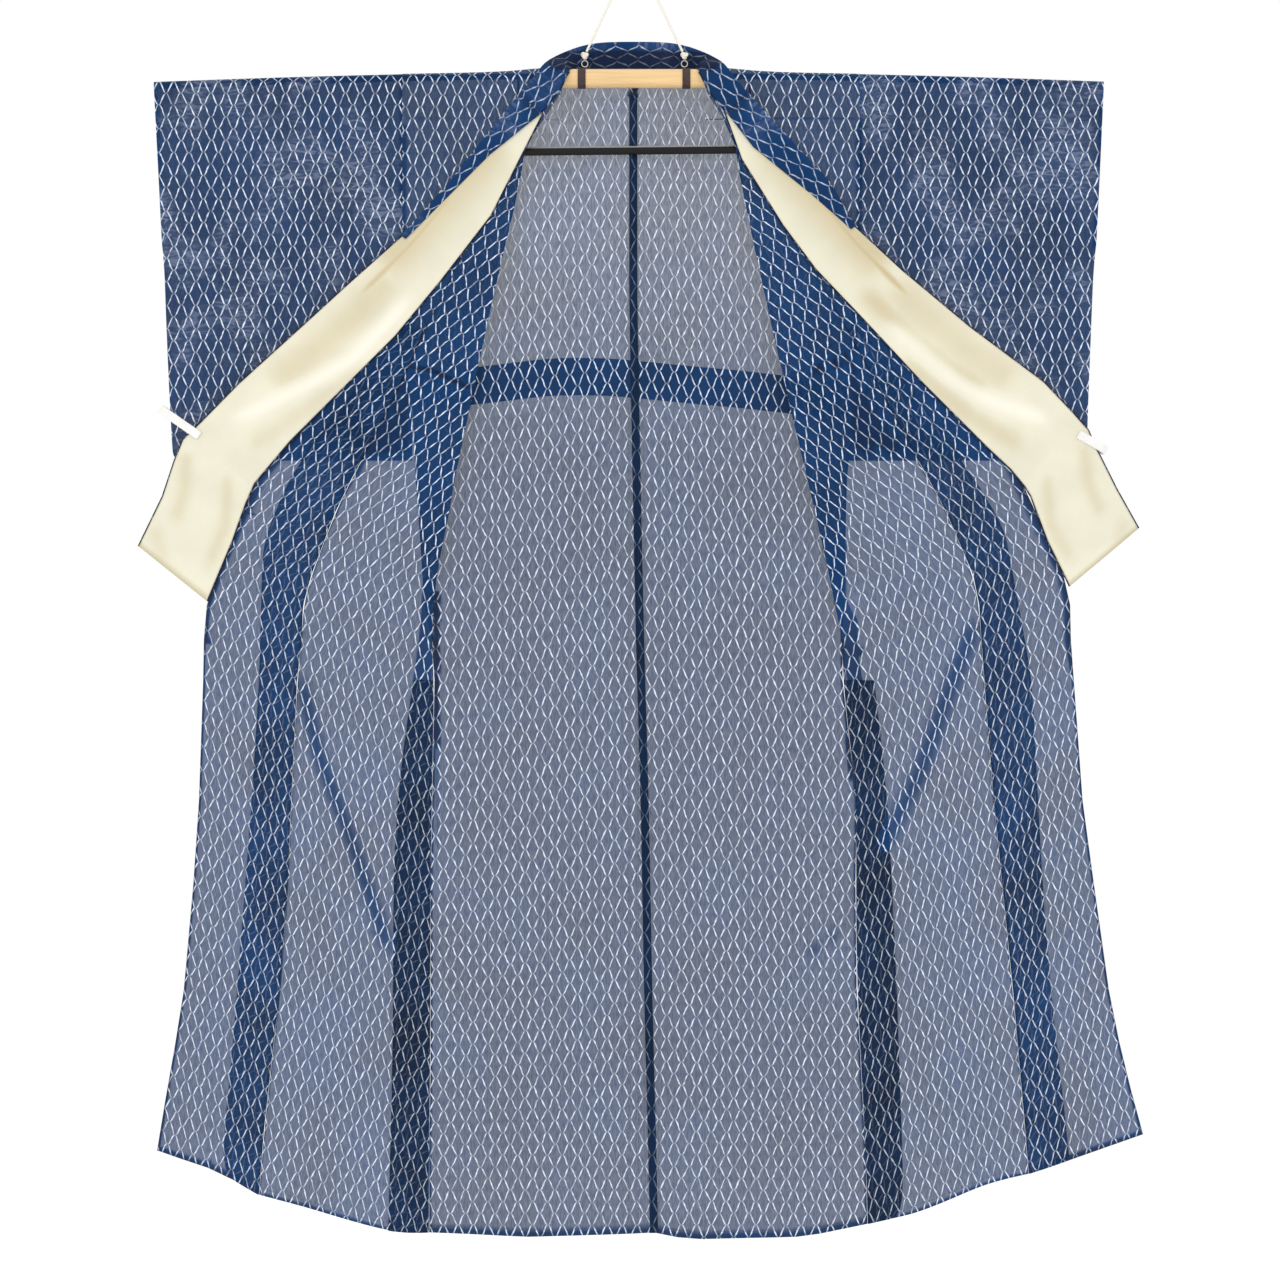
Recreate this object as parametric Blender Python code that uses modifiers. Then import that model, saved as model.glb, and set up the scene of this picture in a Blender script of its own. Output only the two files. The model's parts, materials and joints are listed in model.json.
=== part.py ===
"""Sheer silk kimono hung open on a telescopic hanger.

Frame: metres, +Z up, +X to the right of someone who faces the garment, +Y away from them.
The origin is the top of the inside of the hanging ring, where a hook carries everything.
Tables and sizes are in millimetres; the objects are made in metres.
"""
import math

import bmesh
import bpy
from mathutils import Vector

MM = 0.001

# Cloth
WALL = 1.2                 # thickness given to one layer of cloth
PLY = 1.6                  # from the middle of one layer to the middle of the layer on it
SEAM_GAP = 0.3             # between two pieces that meet at a seam
SLEEVE_HALF = 4.8          # half the depth of a hanging sleeve, to the middle of its wall
BACK_Y = 8.0               # where the back hangs
UNDER_Y = -8.0             # where the straight part of the front hangs
FLAP_Y = -12.0             # where the turned-out flap hangs, in front of the sleeves
HEM_Y = -3.0               # how far forward the opened fronts hang at the hem
FRONT_RELEASE = 130.0      # width over which an opened front leaves the side seam

# Hanger
BAR_RADIUS = 12.7
BAR_HALF_LENGTH = 100.0
BAR_Z = -201.7
BAND_X = 70.0
BAND_WIDTH = 10.5
BAND_RADIUS = 13.1
BAND_WALL = 0.9
ROD_RADIUS = 4.0
ROD_START_Z = -198.5
ROD_DROOP = 13.0
ROD_TIP = {-1: 636.0, 1: 627.0}
ROD_STEPS = 8
SASH_RADIUS = 5.8
SASH_Z = -298.0
SASH_HALF_LENGTH = 168.0
SASH_TILT = 0.00975        # radians: the right end hangs a little higher
LINK_X = 155.0
LINK_RADIUS = 1.6
EYE_X = {-1: -66.0, 1: 67.5}
EYE_RADIUS = 4.2
EYE_WIRE = 1.1
KNOT_RADIUS = 5.6
CORD_RADIUS = 1.6
TOP_KNOT_RADIUS = 6.0
RING_RADIUS = 12.0
RING_WIRE = 1.6

# Shoulder: the cloth lies on the bar near the neck and on the thin rod further out
NECK_HALF = 96.0
NECK_BACK = 16.6           # depth of the back panel behind the bar
SHOULDER_SHARE = ((96.0, 15.3), (112.0, 14.0), (135.0, 10.4), (170.0, 6.6), (215.0, 5.4), (660.0, 5.4))
ROLL_TURNS = (-61.0, -32.0, 0.0, 32.0, 61.0)   # places on the roll, in degrees from its top
SHOULDER_END = -255        # where the cloth over the rod meets the hanging front and back
SHOULDER_INNER = 97.0      # from the middle to the neckline edge of that cloth
SHOULDER_STEPS = 6
ROLL_FOOT = -225.0         # below this height the hanging cloth leaves its roll
# Columns of the back, as distances from the middle: from the fourth inwards it rises behind the bar
BACK_COLUMNS = (240.0, 180.0, 130.0, 96.7, 84.0, 62.0, 41.0, 20.0)
NECK_COLUMN = 4            # the first column of the back that rises behind the bar
NECK_TOP = -202.1          # upper edge of the back behind the bar, just under the collar
BACK_RELEASE = ((-240.0, 120.0), (-205.0, 50.0))   # where the back starts to fall flat and over what
                                                   # height: behind the bar, and beside the neck

# Heights of the rows of points that all the body's pieces share, from the shoulder down
BODY_ROWS = (-222, -255, -293, -332, -381, -434, -485, -539, -586, -632, -686, -740, -783, -827,
             -867, -907, -954, -1008, -1080, -1168, -1280, -1423)
HEM_SHARES = (0.34, 0.67, 1.0)

# Hem line: x, z
HEM = ((-641, -1637), (-553, -1667), (-507, -1696), (-437, -1714), (-358, -1738), (-315, -1750),
       (-273, -1749), (-146, -1755), (-13, -1751), (25, -1749), (74, -1759), (232, -1754), (312, -1738),
       (381, -1722), (476, -1680), (535, -1667), (682, -1616))

# Edges of the fronts: z, side or sleeve seam, fold of the flap, overlap seam, front edge
FRONT_COLUMNS = ("z", "side", "fold", "overlap", "edge")
FRONT = {
    -1: (
        (-222, -310, -97, None, -97),
        (-255, -310, -119, None, -119),
        (-293, -310, -145, None, -147),
        (-332, -310, -151, None, -165),
        (-381, -310, -161, None, -189),
        (-434, -310, -174, -226, -229),
        (-539, -303, -198, -279, -312),
        (-632, -297, -217, -320, -405),
        (-740, -292, -240, -378, -505),
        (-783, -289, -247, -399, -523),
        (-867, -284, -264, -431, -556),
        (-907, -281, -268, -442, -571),
        (-954, -272, -272, -444, -575),
        (-1008, -268, -268, -450, -576),
        (-1168, -271, -271, -458, -582),
        (-1249, -273, -273, -461, -587),
        (-1423, -273, -273, -474, -603),
        (-1517, -273, -273, -485, -618),
        (-1616, -275, -275, -496, -636),
        (-1760, -275, -275, -507, -654),
    ),
    1: (
        (-222, 302, 97, None, 97),
        (-255, 302, 118, None, 118),
        (-293, 302, 135, None, 137),
        (-332, 302, 141, None, 155),
        (-381, 302, 151, None, 185),
        (-434, 302, 162, 226, 229),
        (-539, 299, 185, 284, 320),
        (-632, 295, 206, 335, 410),
        (-740, 285, 232, 394, 517),
        (-783, 284, 242, 417, 537),
        (-867, 283, 261, 453, 574),
        (-907, 282, 269, 461, 583),
        (-954, 280, 280, 464, 584),
        (-1008, 280, 280, 468, 588),
        (-1088, 289, 289, 474, 594),
        (-1168, 299, 299, 481, 600),
        (-1249, 297, 297, 489, 611),
        (-1423, 299, 299, 507, 636),
        (-1517, 304, 304, 515, 655),
        (-1616, 310, 310, 524, 682),
        (-1760, 314, 314, 535, 698),
    ),
}
FLAP_TOP = -293            # where the flap begins to turn out, at the collar
OVERLAP_TOP = -434         # tip of the front overlap
UNDER_END = -907           # last row of the straight part of the front

# Depth of the flap's folded edge: z, y
FOLD_DEPTH = ((-783, FLAP_Y), (-827, -10.0), (-867, -6.5), (-907, 0.0), (-954, 6.5), (-1008, BACK_Y))

# The largest fold of each opened front: x and z at the overlap seam, fall per width, width, height
DRAG_FOLD = {-1: (447.0, -1008.0, 3.06, 15.0, 4.0), 1: (449.0, -954.0, 2.3, 18.0, 4.0)}

# Free edges of the seam allowances: z, x
SIDE_ALLOWANCE = {
    -1: ((-954, -276), (-1008, -296), (-1114, -312), (-1219, -323), (-1483, -323), (-1760, -330)),
    1: ((-954, 292), (-1008, 322), (-1166, 340), (-1378, 351), (-1616, 359), (-1760, 364)),
}
OVERLAP_ALLOWANCE = {
    -1: ((-539, -306), (-718, -452), (-768, -474), (-825, -496), (-1008, -501), (-1166, -511), (-1325, -524),
         (-1483, -536), (-1616, -549), (-1760, -560)),
    1: ((-539, 312), (-787, 492), (-886, 510), (-1008, 532), (-1166, 540), (-1378, 552), (-1616, 580),
        (-1760, 592)),
}

# Centre back seam: z, x
CENTRE = ((-200, -1), (-500, -1), (-767, 4), (-954, 8), (-1195, 15), (-1436, 19), (-1616, 24), (-1760, 27))
BINDING_WIDTH = 11.0

# Upper edge of the waist tuck across the back: x, z
TUCK = ((-310, -598), (-193, -586), (-113, -576), (-46, -575), (8, -580), (88, -588), (129, -591),
        (303, -611))
TUCK_DEPTH = 50.0
TUCK_Z = -600.0            # height at which the tuck's ends are read
TUCK_INSET = {"side": 3.0, "centre": 0.5}
TUCK_STEPS = 8

# Sleeves: z, outer edge and inner edge of the left one, outer and inner edge of the right one
SLEEVE_COLUMNS = ("z", "outer left", "inner left", "outer right", "inner right")
SLEEVE = (
    (-190, -643, -310, 629, 302),
    (-230, -642, -310, 628, 302),
    (-324, -637, -310, 624, 302),
    (-418, -632, -310, 619, 302),
    (-485, -630, -304, 616, 295),
    (-539, -628, -298, 614, 288),
    (-632, -624, -297, 610, 287),
    (-716, -619, -297, 608, 287),
)
SLEEVE_BOTTOM = -714
CUFF_END = -430
SLEEVE_ROWS = (-225, -290, -360, -430, -490, -560, -640, -700)
SLEEVE_STEPS = 7
SLEEVE_ARCH = (-60.0, -22.0, 22.0, 60.0)   # places on the roll over the rod, in degrees from its top
SLEEVE_FOLD = 2.6          # half the depth at the bottom fold
SLEEVE_WAVE = 2.1          # depth of the soft wave in each wall

# Opened collar: outer edge x and z, edge of the folded-over half x and z, seam x and z
COLLAR_COLUMNS = ("outer x", "outer z", "turn x", "turn z", "seam x", "seam z")
COLLAR = {
    -1: (
        (-153, -224, -125, -252, -122, -254),
        (-208, -293, -192, -306, -160, -329),
        (-247, -343, -237, -351, -190, -388),
        (-311, -414, -305, -419, -257, -475),
        (-383, -478, None, None, -318, -549),
        (-442, -532, None, None, -375, -606),
        (-529, -611, None, None, -458, -689),
        (-578, -661, None, None, -506, -746),
        (-603, -685, None, None, -517, -771),
        (-615, -714, None, None, -525, -793),
        (-631, -762, None, None, -535, -822),
        (-663, -828, None, None, -569, -903),
    ),
    1: (
        (153, -224, 125, -252, 122, -254),
        (192, -267, 159, -296, 143, -313),
        (261, -342, 240, -362, 198, -401),
        (296, -401, 290, -406, 242, -460),
        (360, -460, None, None, 302, -523),
        (450, -535, None, None, 385, -612),
        (548, -608, None, None, 472, -699),
        (587, -649, None, None, 502, -727),
        (608, -673, None, None, 521, -750),
        (615, -690, None, None, 529, -763),
        (646, -752, None, None, 551, -822),
        (675, -804, None, None, 581, -883),
    ),
}

# Collar folded double round the neck: seam x, y, z, top fold x, y, z, gap between the two halves
NECK = (
    (0.0, 16.9, -201.4, 0.0, 17.6, -150.0, 2.2),
    (-38.0, 16.9, -201.4, -38.0, 17.6, -150.0, 2.2),
    (-62.0, 16.9, -200.0, -64.0, 17.4, -153.5, 2.2),
    (-76.0, 15.2, -190.5, -84.0, 16.5, -160.0, 2.2),
    (-81.0, 7.0, -184.5, -100.0, 12.0, -168.0, 2.3),
    (-84.0, -5.0, -184.0, -112.0, 1.0, -177.0, 2.4),
    (-86.0, -13.0, -188.5, -120.0, -7.0, -183.5, 2.5),
    (-88.5, -18.5, -200.0, -127.0, -13.5, -193.0, 2.6),
    (-97.0, -18.5, -222.0, -139.0, -15.0, -209.0, 2.8),
    (-125.0, -14.6, -252.0, -153.0, -13.6, -224.0, 3.2),
)

# Clips: outer end x and z, inner end x and z
CLIP = {-1: (-630.0, -647.0, -577.0, -684.0), 1: (628.0, -699.0, 590.0, -677.0)}
CLIP_WIDTH = 12.0
CLIP_WALL = 3.2
CLIP_FRONT_Y = {-1: -18.8, 1: -17.7}
CLIP_BACK_Y = 9.5
CLIP_BEND_OUT = 4.0        # how far the bend reaches past the outer end
CLIP_ROUND = 0.9

SIDES = ((-1, "left"), (1, "right"))


def clear_scene():
    for item in list(bpy.data.objects):
        bpy.data.objects.remove(item, do_unlink=True)


def make_material(name, colour, roughness, metallic=0.0):
    material = bpy.data.materials.new(name)
    material.use_nodes = True
    shader = material.node_tree.nodes["Principled BSDF"]
    shader.inputs["Base Color"].default_value = (*colour, 1.0)
    shader.inputs["Roughness"].default_value = roughness
    shader.inputs["Metallic"].default_value = metallic
    return material


def lerp(start, end, share):
    return start + (end - start) * share


def smooth(share):
    share = min(1.0, max(0.0, share))
    return share * share * (3.0 - 2.0 * share)


def look_up(table, key, column=1):
    """Value of a column at a key, on straight lines between the rows that have one."""
    rows = sorted((row for row in table if row[column] is not None), key=lambda row: row[0])
    if key <= rows[0][0]:
        return float(rows[0][column])
    for low, high in zip(rows, rows[1:]):
        if key <= high[0]:
            return lerp(low[column], high[column], (key - low[0]) / (high[0] - low[0]))
    return float(rows[-1][column])


def edge_x(side, name, z):
    return look_up(FRONT[side], z, FRONT_COLUMNS.index(name))


def row_z(row, x):
    """Height of a shared row at x; the last rows ease into the hem line."""
    if row < len(BODY_ROWS):
        return float(BODY_ROWS[row])
    return lerp(BODY_ROWS[-1], look_up(HEM, x), HEM_SHARES[row - len(BODY_ROWS)])


def edge_point(row, find_x):
    """Where an edge, given as x of z, meets a shared row."""
    x = find_x(row_z(row, find_x(BODY_ROWS[-1])))
    z = row_z(row, x)
    return find_x(z), z


ROW_COUNT = len(BODY_ROWS) + len(HEM_SHARES)


def rows_from(top, bottom=None):
    return [row for row in range(ROW_COUNT)
            if row >= len(BODY_ROWS) and bottom is None
            or row < len(BODY_ROWS) and BODY_ROWS[row] <= top
            and (bottom is None or BODY_ROWS[row] >= bottom)]


def rod_z(x):
    reach = max(0.0, (abs(x) - BAR_HALF_LENGTH) / (ROD_TIP[-1] - BAR_HALF_LENGTH))
    return ROD_START_Z - ROD_DROOP * reach ** 1.6


def roll_radius(x):
    return look_up(SHOULDER_SHARE, abs(x))


def shoulder_axis(x):
    """Height of the middle of the roll of cloth over the bar or rod."""
    share = smooth((abs(x) - NECK_HALF) / 60.0)
    return lerp(BAR_Z, rod_z(x), share)


def back_y(x, z):
    """The back hangs flat, with a long shallow wave that grows towards the hem."""
    beside_neck = smooth((abs(x) - NECK_HALF) / 30.0)
    behind, beside = BACK_RELEASE
    start = lerp(behind[0], beside[0], beside_neck)
    drop = smooth((start - z) / lerp(behind[1], beside[1], beside_neck))
    top = lerp(NECK_BACK, roll_radius(x), smooth((abs(x) - 80.0) / 25.0))
    low = smooth((-z - 700.0) / 900.0)
    wave = 2.2 * low * math.sin(x / 46.0) + 0.8 * math.sin(x / 31.0 + z / 210.0) * drop
    edge = smooth(min(abs(x + 272.0), abs(x - 285.0)) / 60.0)
    return lerp(top, BACK_Y, drop) + wave * edge


def drag_folds(side, x, z):
    """The soft fold that runs from the overlap seam steeply down to the side seam."""
    start_x, start_z, fall, width, height = DRAG_FOLD[side]
    line_z = start_z - fall * (start_x - abs(x))
    away = (z - line_z) / math.hypot(1.0, fall) / width
    from_side = abs(x) - abs(edge_x(side, "side", z))
    ends = smooth((start_x + 20.0 - abs(x)) / 50.0) * smooth((from_side - 50.0) / 50.0)
    return height * math.exp(-away * away) * ends


def front_y(side, x, z):
    """Depth of the opened front: level over the sleeve, eased back to the side seam below it."""
    inner = look_up(FOLD_DEPTH, z)
    seam_x = edge_x(side, "fold", z)
    out = abs(x) - abs(seam_x)
    outer = lerp(FLAP_Y, HEM_Y, smooth((-z - 900.0) / 600.0))
    wave = 2.0 * smooth((-z - 1050.0) / 500.0) * math.sin(x / 52.0 + 0.8 * side)
    share = smooth(out / FRONT_RELEASE)
    if z > FOLD_DEPTH[0][0]:
        share = 1.0
    return lerp(inner, outer, share) + wave * share - drag_folds(side, x, z)


def straight_y(side, x, z):
    """Depth of the part of the front that hangs straight down, behind the flap."""
    seam_x = edge_x(side, "side", z)
    share = smooth((x - seam_x) / (edge_x(side, "fold", z) - seam_x))
    at_seam = lerp(UNDER_Y, BACK_Y - PLY, smooth((SLEEVE_BOTTOM - z) / 150.0))
    at_seam = lerp(-roll_radius(x), at_seam, smooth((ROLL_FOOT - z) / 110.0))
    at_fold = look_up(FOLD_DEPTH, z) + 2.0 * PLY
    at_fold = lerp(-roll_radius(x), at_fold, smooth((ROLL_FOOT - z) / 60.0))
    return lerp(at_seam, at_fold, share)


def add_object(name, mesh, material, smooth_angle=math.radians(50.0)):
    item = bpy.data.objects.new(name, mesh)
    PART.objects.link(item)
    mesh.materials.clear()
    mesh.materials.append(material)
    mesh.shade_smooth()
    mesh.set_sharp_from_angle(angle=smooth_angle)
    return item


def mesh_from(name, points, faces):
    mesh = bpy.data.meshes.new(name)
    shape = bmesh.new()
    corners = [shape.verts.new(Vector(point) * MM) for point in points]
    for face in faces:
        shape.faces.new([corners[index] for index in face])
    bmesh.ops.recalc_face_normals(shape, faces=shape.faces)
    shape.to_mesh(mesh)
    shape.free()
    return mesh


def thicken(item, thickness=WALL):
    wall = item.modifiers.new("wall", "SOLIDIFY")
    wall.thickness = thickness * MM
    wall.offset = 0.0
    return item


def sheet(name, rows, material, thickness=WALL, cut_rows=0, cut_columns=0):
    """A cloth panel: a loft through rows of points, less a cut corner, given its wall by Solidify."""
    width = len(rows[0])
    points = [point for row in rows for point in row]
    faces = [(row * width + col, row * width + col + 1, (row + 1) * width + col + 1, (row + 1) * width + col)
             for row in range(len(rows) - 1) for col in range(width - 1)
             if row >= cut_rows or col >= cut_columns]
    return thicken(add_object(name, mesh_from(name, points, faces), material), thickness)


def body_line(row, find_start, find_end, steps, depth, trim=SEAM_GAP / 2, shares=None):
    """One row of a body panel between two edges, ending half a seam gap inside each."""
    start_x, start_z = edge_point(row, find_start)
    end_x, end_z = edge_point(row, find_end)
    inward = math.copysign(trim, end_x - start_x)
    line = []
    for step in range(steps + 1):
        share = shares[step] if shares else step / steps
        x = lerp(start_x + inward, end_x - inward, share)
        z = row_z(row, x) if 0 < step < steps else (start_z, end_z)[step // steps]
        line.append((x, depth(x, z), z))
    return line


def make_backs():
    cloth = MATERIALS["gauze"]
    for side, word in SIDES:
        def seam(z, side=side):
            return edge_x(side, "side", z)

        def centre(z):
            return look_up(CENTRE, z)

        span = abs(seam(BODY_ROWS[0])) - abs(centre(BODY_ROWS[0]))
        at_neck = [0.0] + [(abs(seam(BODY_ROWS[0])) - x) / span for x in BACK_COLUMNS] + [1.0]
        steps = len(at_neck) - 1

        def shares(row, at_neck=at_neck, steps=steps):
            evenness = smooth((-BODY_ROWS[min(row, len(BODY_ROWS) - 1)] - 255.0) / 200.0)
            return [lerp(share, step / steps, evenness) for step, share in enumerate(at_neck)]

        rows = [body_line(row, seam, centre, steps, back_y, shares=shares(row)) for row in rows_from(0)]
        top = [(x, back_y(x, NECK_TOP), NECK_TOP) for x, _, _ in rows[0]]
        rows.insert(0, top)
        cut = 1 + BODY_ROWS.index(SHOULDER_END)
        rows[cut] = [(x, y, z - SEAM_GAP / 2) for x, y, z in rows[cut]]
        sheet("back_" + word, rows, cloth, cut_rows=cut, cut_columns=NECK_COLUMN)


def make_shoulders():
    """The cloth that lies over the rod, from the hanging front to the hanging back."""
    for side, word in SIDES:
        rows = []

        def line(z, inner, depth):
            seam = edge_x(side, "side", BODY_ROWS[0])
            xs = [lerp(seam - side * SEAM_GAP / 2, side * inner, step / SHOULDER_STEPS)
                  for step in range(SHOULDER_STEPS + 1)]
            return [(x, depth(x, z), z) for x in xs]

        def in_front(x, z, side=side):
            return straight_y(side, x, z)

        end = SHOULDER_END + SEAM_GAP / 2
        rows.append(line(end, abs(edge_x(side, "fold", SHOULDER_END)) + SEAM_GAP / 2, in_front))
        rows.append(line(BODY_ROWS[0], SHOULDER_INNER, in_front))
        for turn in ROLL_TURNS:
            angle = math.radians(turn)
            rows.append([(x, roll_radius(x) * math.sin(angle), shoulder_axis(x) + roll_radius(x) * math.cos(angle))
                         for x, _, _ in rows[1]])
        rows.append(line(BODY_ROWS[0], SHOULDER_INNER, back_y))
        rows.append(line(end, SHOULDER_INNER, back_y))
        sheet("shoulder_" + word, rows, MATERIALS["gauze"])


def make_binding():
    rows = []
    for row in rows_from(-222):
        x, z = edge_point(row, lambda height: look_up(CENTRE, height))
        half = BINDING_WIDTH / 2
        lift = 2.1 * PLY
        rows.append([(x + share * half, back_y(x + share * half, z) - lift, z) for share in (-1, 0, 1)])
    sheet("back_binding", rows, MATERIALS["seam"])


def make_tucks():
    for side, word in SIDES:
        rows = []
        for share in (0.0, 0.5, 1.0):
            line = []
            outer = edge_x(side, "side", TUCK_Z) - side * TUCK_INSET["side"]
            inner = look_up(CENTRE, TUCK_Z) + side * TUCK_INSET["centre"]
            for step in range(TUCK_STEPS + 1):
                x = lerp(outer, inner, step / TUCK_STEPS)
                z = look_up(TUCK, x) - TUCK_DEPTH * share
                line.append((x, back_y(x, z) - PLY, z))
            rows.append(line)
        sheet("tuck_" + word, rows, MATERIALS["double"])


def sleeve_ring(side, word, share):
    """One section of a sleeve across its width, up the near wall, over the rod and down the far wall."""
    outer = SLEEVE_COLUMNS.index("outer " + word)
    inner = SLEEVE_COLUMNS.index("inner " + word)

    def place_x(z):
        return lerp(look_up(SLEEVE, z, inner) + side * SEAM_GAP, look_up(SLEEVE, z, outer), share)

    axis_x = lerp(SLEEVE[0][inner], SLEEVE[0][outer], share)
    radius = roll_radius(axis_x)
    walls = {-1: [], 1: []}
    for face, wall in walls.items():
        for z in SLEEVE_ROWS:
            x = place_x(z)
            wave = SLEEVE_WAVE * math.sin(x / 27.0 + face) * smooth((-z - 260.0) / 200.0)
            depth = SLEEVE_HALF - 0.5 + wave * (1.0 - share) * share
            wall.append((x, face * lerp(radius, depth, smooth((ROLL_FOOT - z) / 70.0)), z))
    arch = []
    for turn in SLEEVE_ARCH:
        angle = math.radians(turn)
        arch.append((axis_x, radius * math.sin(angle), rod_z(axis_x) + radius * math.cos(angle)))
    foot = [(place_x(SLEEVE_BOTTOM), y, SLEEVE_BOTTOM) for y in (SLEEVE_FOLD, -SLEEVE_FOLD)]
    return list(reversed(walls[-1])) + arch + walls[1] + foot


def make_sleeves():
    """Each sleeve is a bag over the rod, open to the body and at the cuff."""
    for side, word in SIDES:
        rings = [sleeve_ring(side, word, step / SLEEVE_STEPS) for step in range(SLEEVE_STEPS + 1)]
        size = len(rings[0])
        faces = []
        for step in range(SLEEVE_STEPS):
            for place in range(size):
                following = (place + 1) % size
                first, second = step * size, (step + 1) * size
                faces.append((first + place, first + following, second + following, second + place))
        closed = [index for index, z in enumerate(SLEEVE_ROWS) if z <= CUFF_END]
        count = len(SLEEVE_ROWS)
        near = SLEEVE_STEPS * size + count - 1
        far = SLEEVE_STEPS * size + count + len(SLEEVE_ARCH)
        for upper, lower in zip(closed, closed[1:]):
            faces.append((near - upper, near - lower, far + lower, far + upper))
        last = SLEEVE_STEPS * size
        faces.append((last, last + size - 1, last + size - 2, last + size - 3))
        points = [point for ring in rings for point in ring]
        mesh = mesh_from("sleeve_" + word, points, faces)
        thicken(add_object("sleeve_" + word, mesh, MATERIALS["sleeve"]))


def make_fronts():
    """The part of each front that hangs straight down from the shoulder, behind the flap."""
    for side, word in SIDES:
        def seam(z, side=side):
            return edge_x(side, "side", z)

        def fold(z, side=side):
            return edge_x(side, "fold", z)

        def depth(x, z, side=side):
            return straight_y(side, x, z)

        rows = [body_line(row, seam, fold, 6, depth) for row in rows_from(SHOULDER_END, UNDER_END)]
        rows[0] = [(x, y, z - SEAM_GAP / 2) for x, y, z in rows[0]]
        sheet("front_" + word, rows, MATERIALS["gauze"])


def make_flaps():
    """The turned-out flap and the lower front, from the fold or side seam to the overlap seam."""
    for side, word in SIDES:
        def inner(z, side=side):
            return edge_x(side, "fold", z)

        def outer(z, side=side):
            return edge_x(side, "overlap" if z <= OVERLAP_TOP else "edge", z)

        def depth(x, z, side=side):
            return front_y(side, x, z)

        rows = [body_line(row, inner, outer, 7, depth) for row in rows_from(FLAP_TOP)]
        rows[0][-1] = (rows[0][-1][0] + side * 1.5, rows[0][-1][1], rows[0][-1][2])
        sheet("flap_" + word, rows, MATERIALS["gauze"])


def make_overlaps():
    for side, word in SIDES:
        def seam(z, side=side):
            return edge_x(side, "overlap", z)

        def outer(z, side=side):
            return edge_x(side, "edge", z)

        def depth(x, z, side=side):
            return front_y(side, x, z)

        rows = [body_line(row, seam, outer, 4, depth) for row in rows_from(OVERLAP_TOP)]
        sheet("okumi_" + word, rows, MATERIALS["gauze"])


def make_allowances():
    """Folded seam allowances: strips that lie on the inside of the opened fronts."""
    for side, word in SIDES:
        for kind, table, seam_name, top in (("side", SIDE_ALLOWANCE, "side", -1008),
                                            ("okumi", OVERLAP_ALLOWANCE, "overlap", -539)):
            def seam(z, side=side, seam_name=seam_name):
                return edge_x(side, seam_name, z) + side * 1.0

            def free(z, side=side, table=table):
                return look_up(table[side], z)

            def depth(x, z, side=side):
                return front_y(side, x, z) - PLY - 0.3

            rows = [body_line(row, seam, free, 2, depth) for row in rows_from(top)]
            sheet(kind + "_allowance_" + word, rows, MATERIALS["double"])


def collar_rows(side, first, last, from_column, to_column, lift, steps, trim=0.0):
    rows = []
    for station in COLLAR[side][first:last]:
        start = [station[COLLAR_COLUMNS.index(from_column + axis)] for axis in (" x", " z")]
        end = [station[COLLAR_COLUMNS.index(to_column + axis)] for axis in (" x", " z")]
        length = math.dist(start, end)
        inset = min(trim, 0.3 * length) / length
        line = []
        for step in range(steps + 1):
            share = lerp(inset, 1.0 - inset, step / steps)
            line.append((lerp(start[0], end[0], share), FLAP_Y - lift, lerp(start[1], end[1], share)))
        rows.append(line)
    return rows


def soften_collar(rows, side):
    """Shallow creases along the opened collar."""
    for number, line in enumerate(rows):
        along = number / (len(rows) - 1)
        for step, (x, y, z) in enumerate(line):
            across = step / (len(line) - 1)
            fade = smooth(along / 0.5) * smooth((1.15 - along) / 0.3)
            ridge = 1.6 * math.exp(-((across - 0.42) / 0.16) ** 2) * fade
            curl = 1.2 * math.sin(4.0 * across + 5.0 * along + side) * along
            line[step] = (x, y - ridge - curl, z)


def make_collars():
    for side, word in SIDES:
        count = len(COLLAR[side])
        turned = sum(1 for row in COLLAR[side] if row[2] is not None)
        main = collar_rows(side, 0, count, "outer", "seam", PLY + 0.4, 6)
        soften_collar(main, side)
        sheet("collar_" + word, main, MATERIALS["double"])
        lining = collar_rows(side, 0, count, "outer", "seam", 2 * PLY + 0.5, 6, 2.0)
        soften_collar(lining, side)
        sheet("lining_" + word, lining, MATERIALS["cream"])
        turn = collar_rows(side, 0, turned, "outer", "turn", 3 * PLY + 1.6, 3)
        sheet("collar_turn_" + word, turn, MATERIALS["double"])


def neck_section(before, here, after, mirror):
    """The two halves of the folded collar at one place round the neck."""
    seam = Vector((here[0], here[1], here[2]))
    top = Vector((here[3], here[4], here[5]))
    middle_before = (Vector(before[0:3]) + Vector(before[3:6])) / 2
    middle_after = (Vector(after[0:3]) + Vector(after[3:6])) / 2
    inward = -(middle_after - middle_before).cross(top - seam).normalized()
    gap = here[6]
    rise = (top - seam).normalized()
    half = gap / 2
    line = [seam, seam.lerp(top, 0.5), top - rise * half]
    for turn in (60.0, 120.0):
        angle = math.radians(turn)
        line.append(top - rise * half + inward * half * (1 - math.cos(angle)) + rise * half * math.sin(angle))
    inner = inward * gap
    line += [top - rise * half + inner, seam.lerp(top, 0.5) + inner, seam + inner + rise]
    return [(mirror * point.x, point.y, point.z) for point in line]


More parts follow.
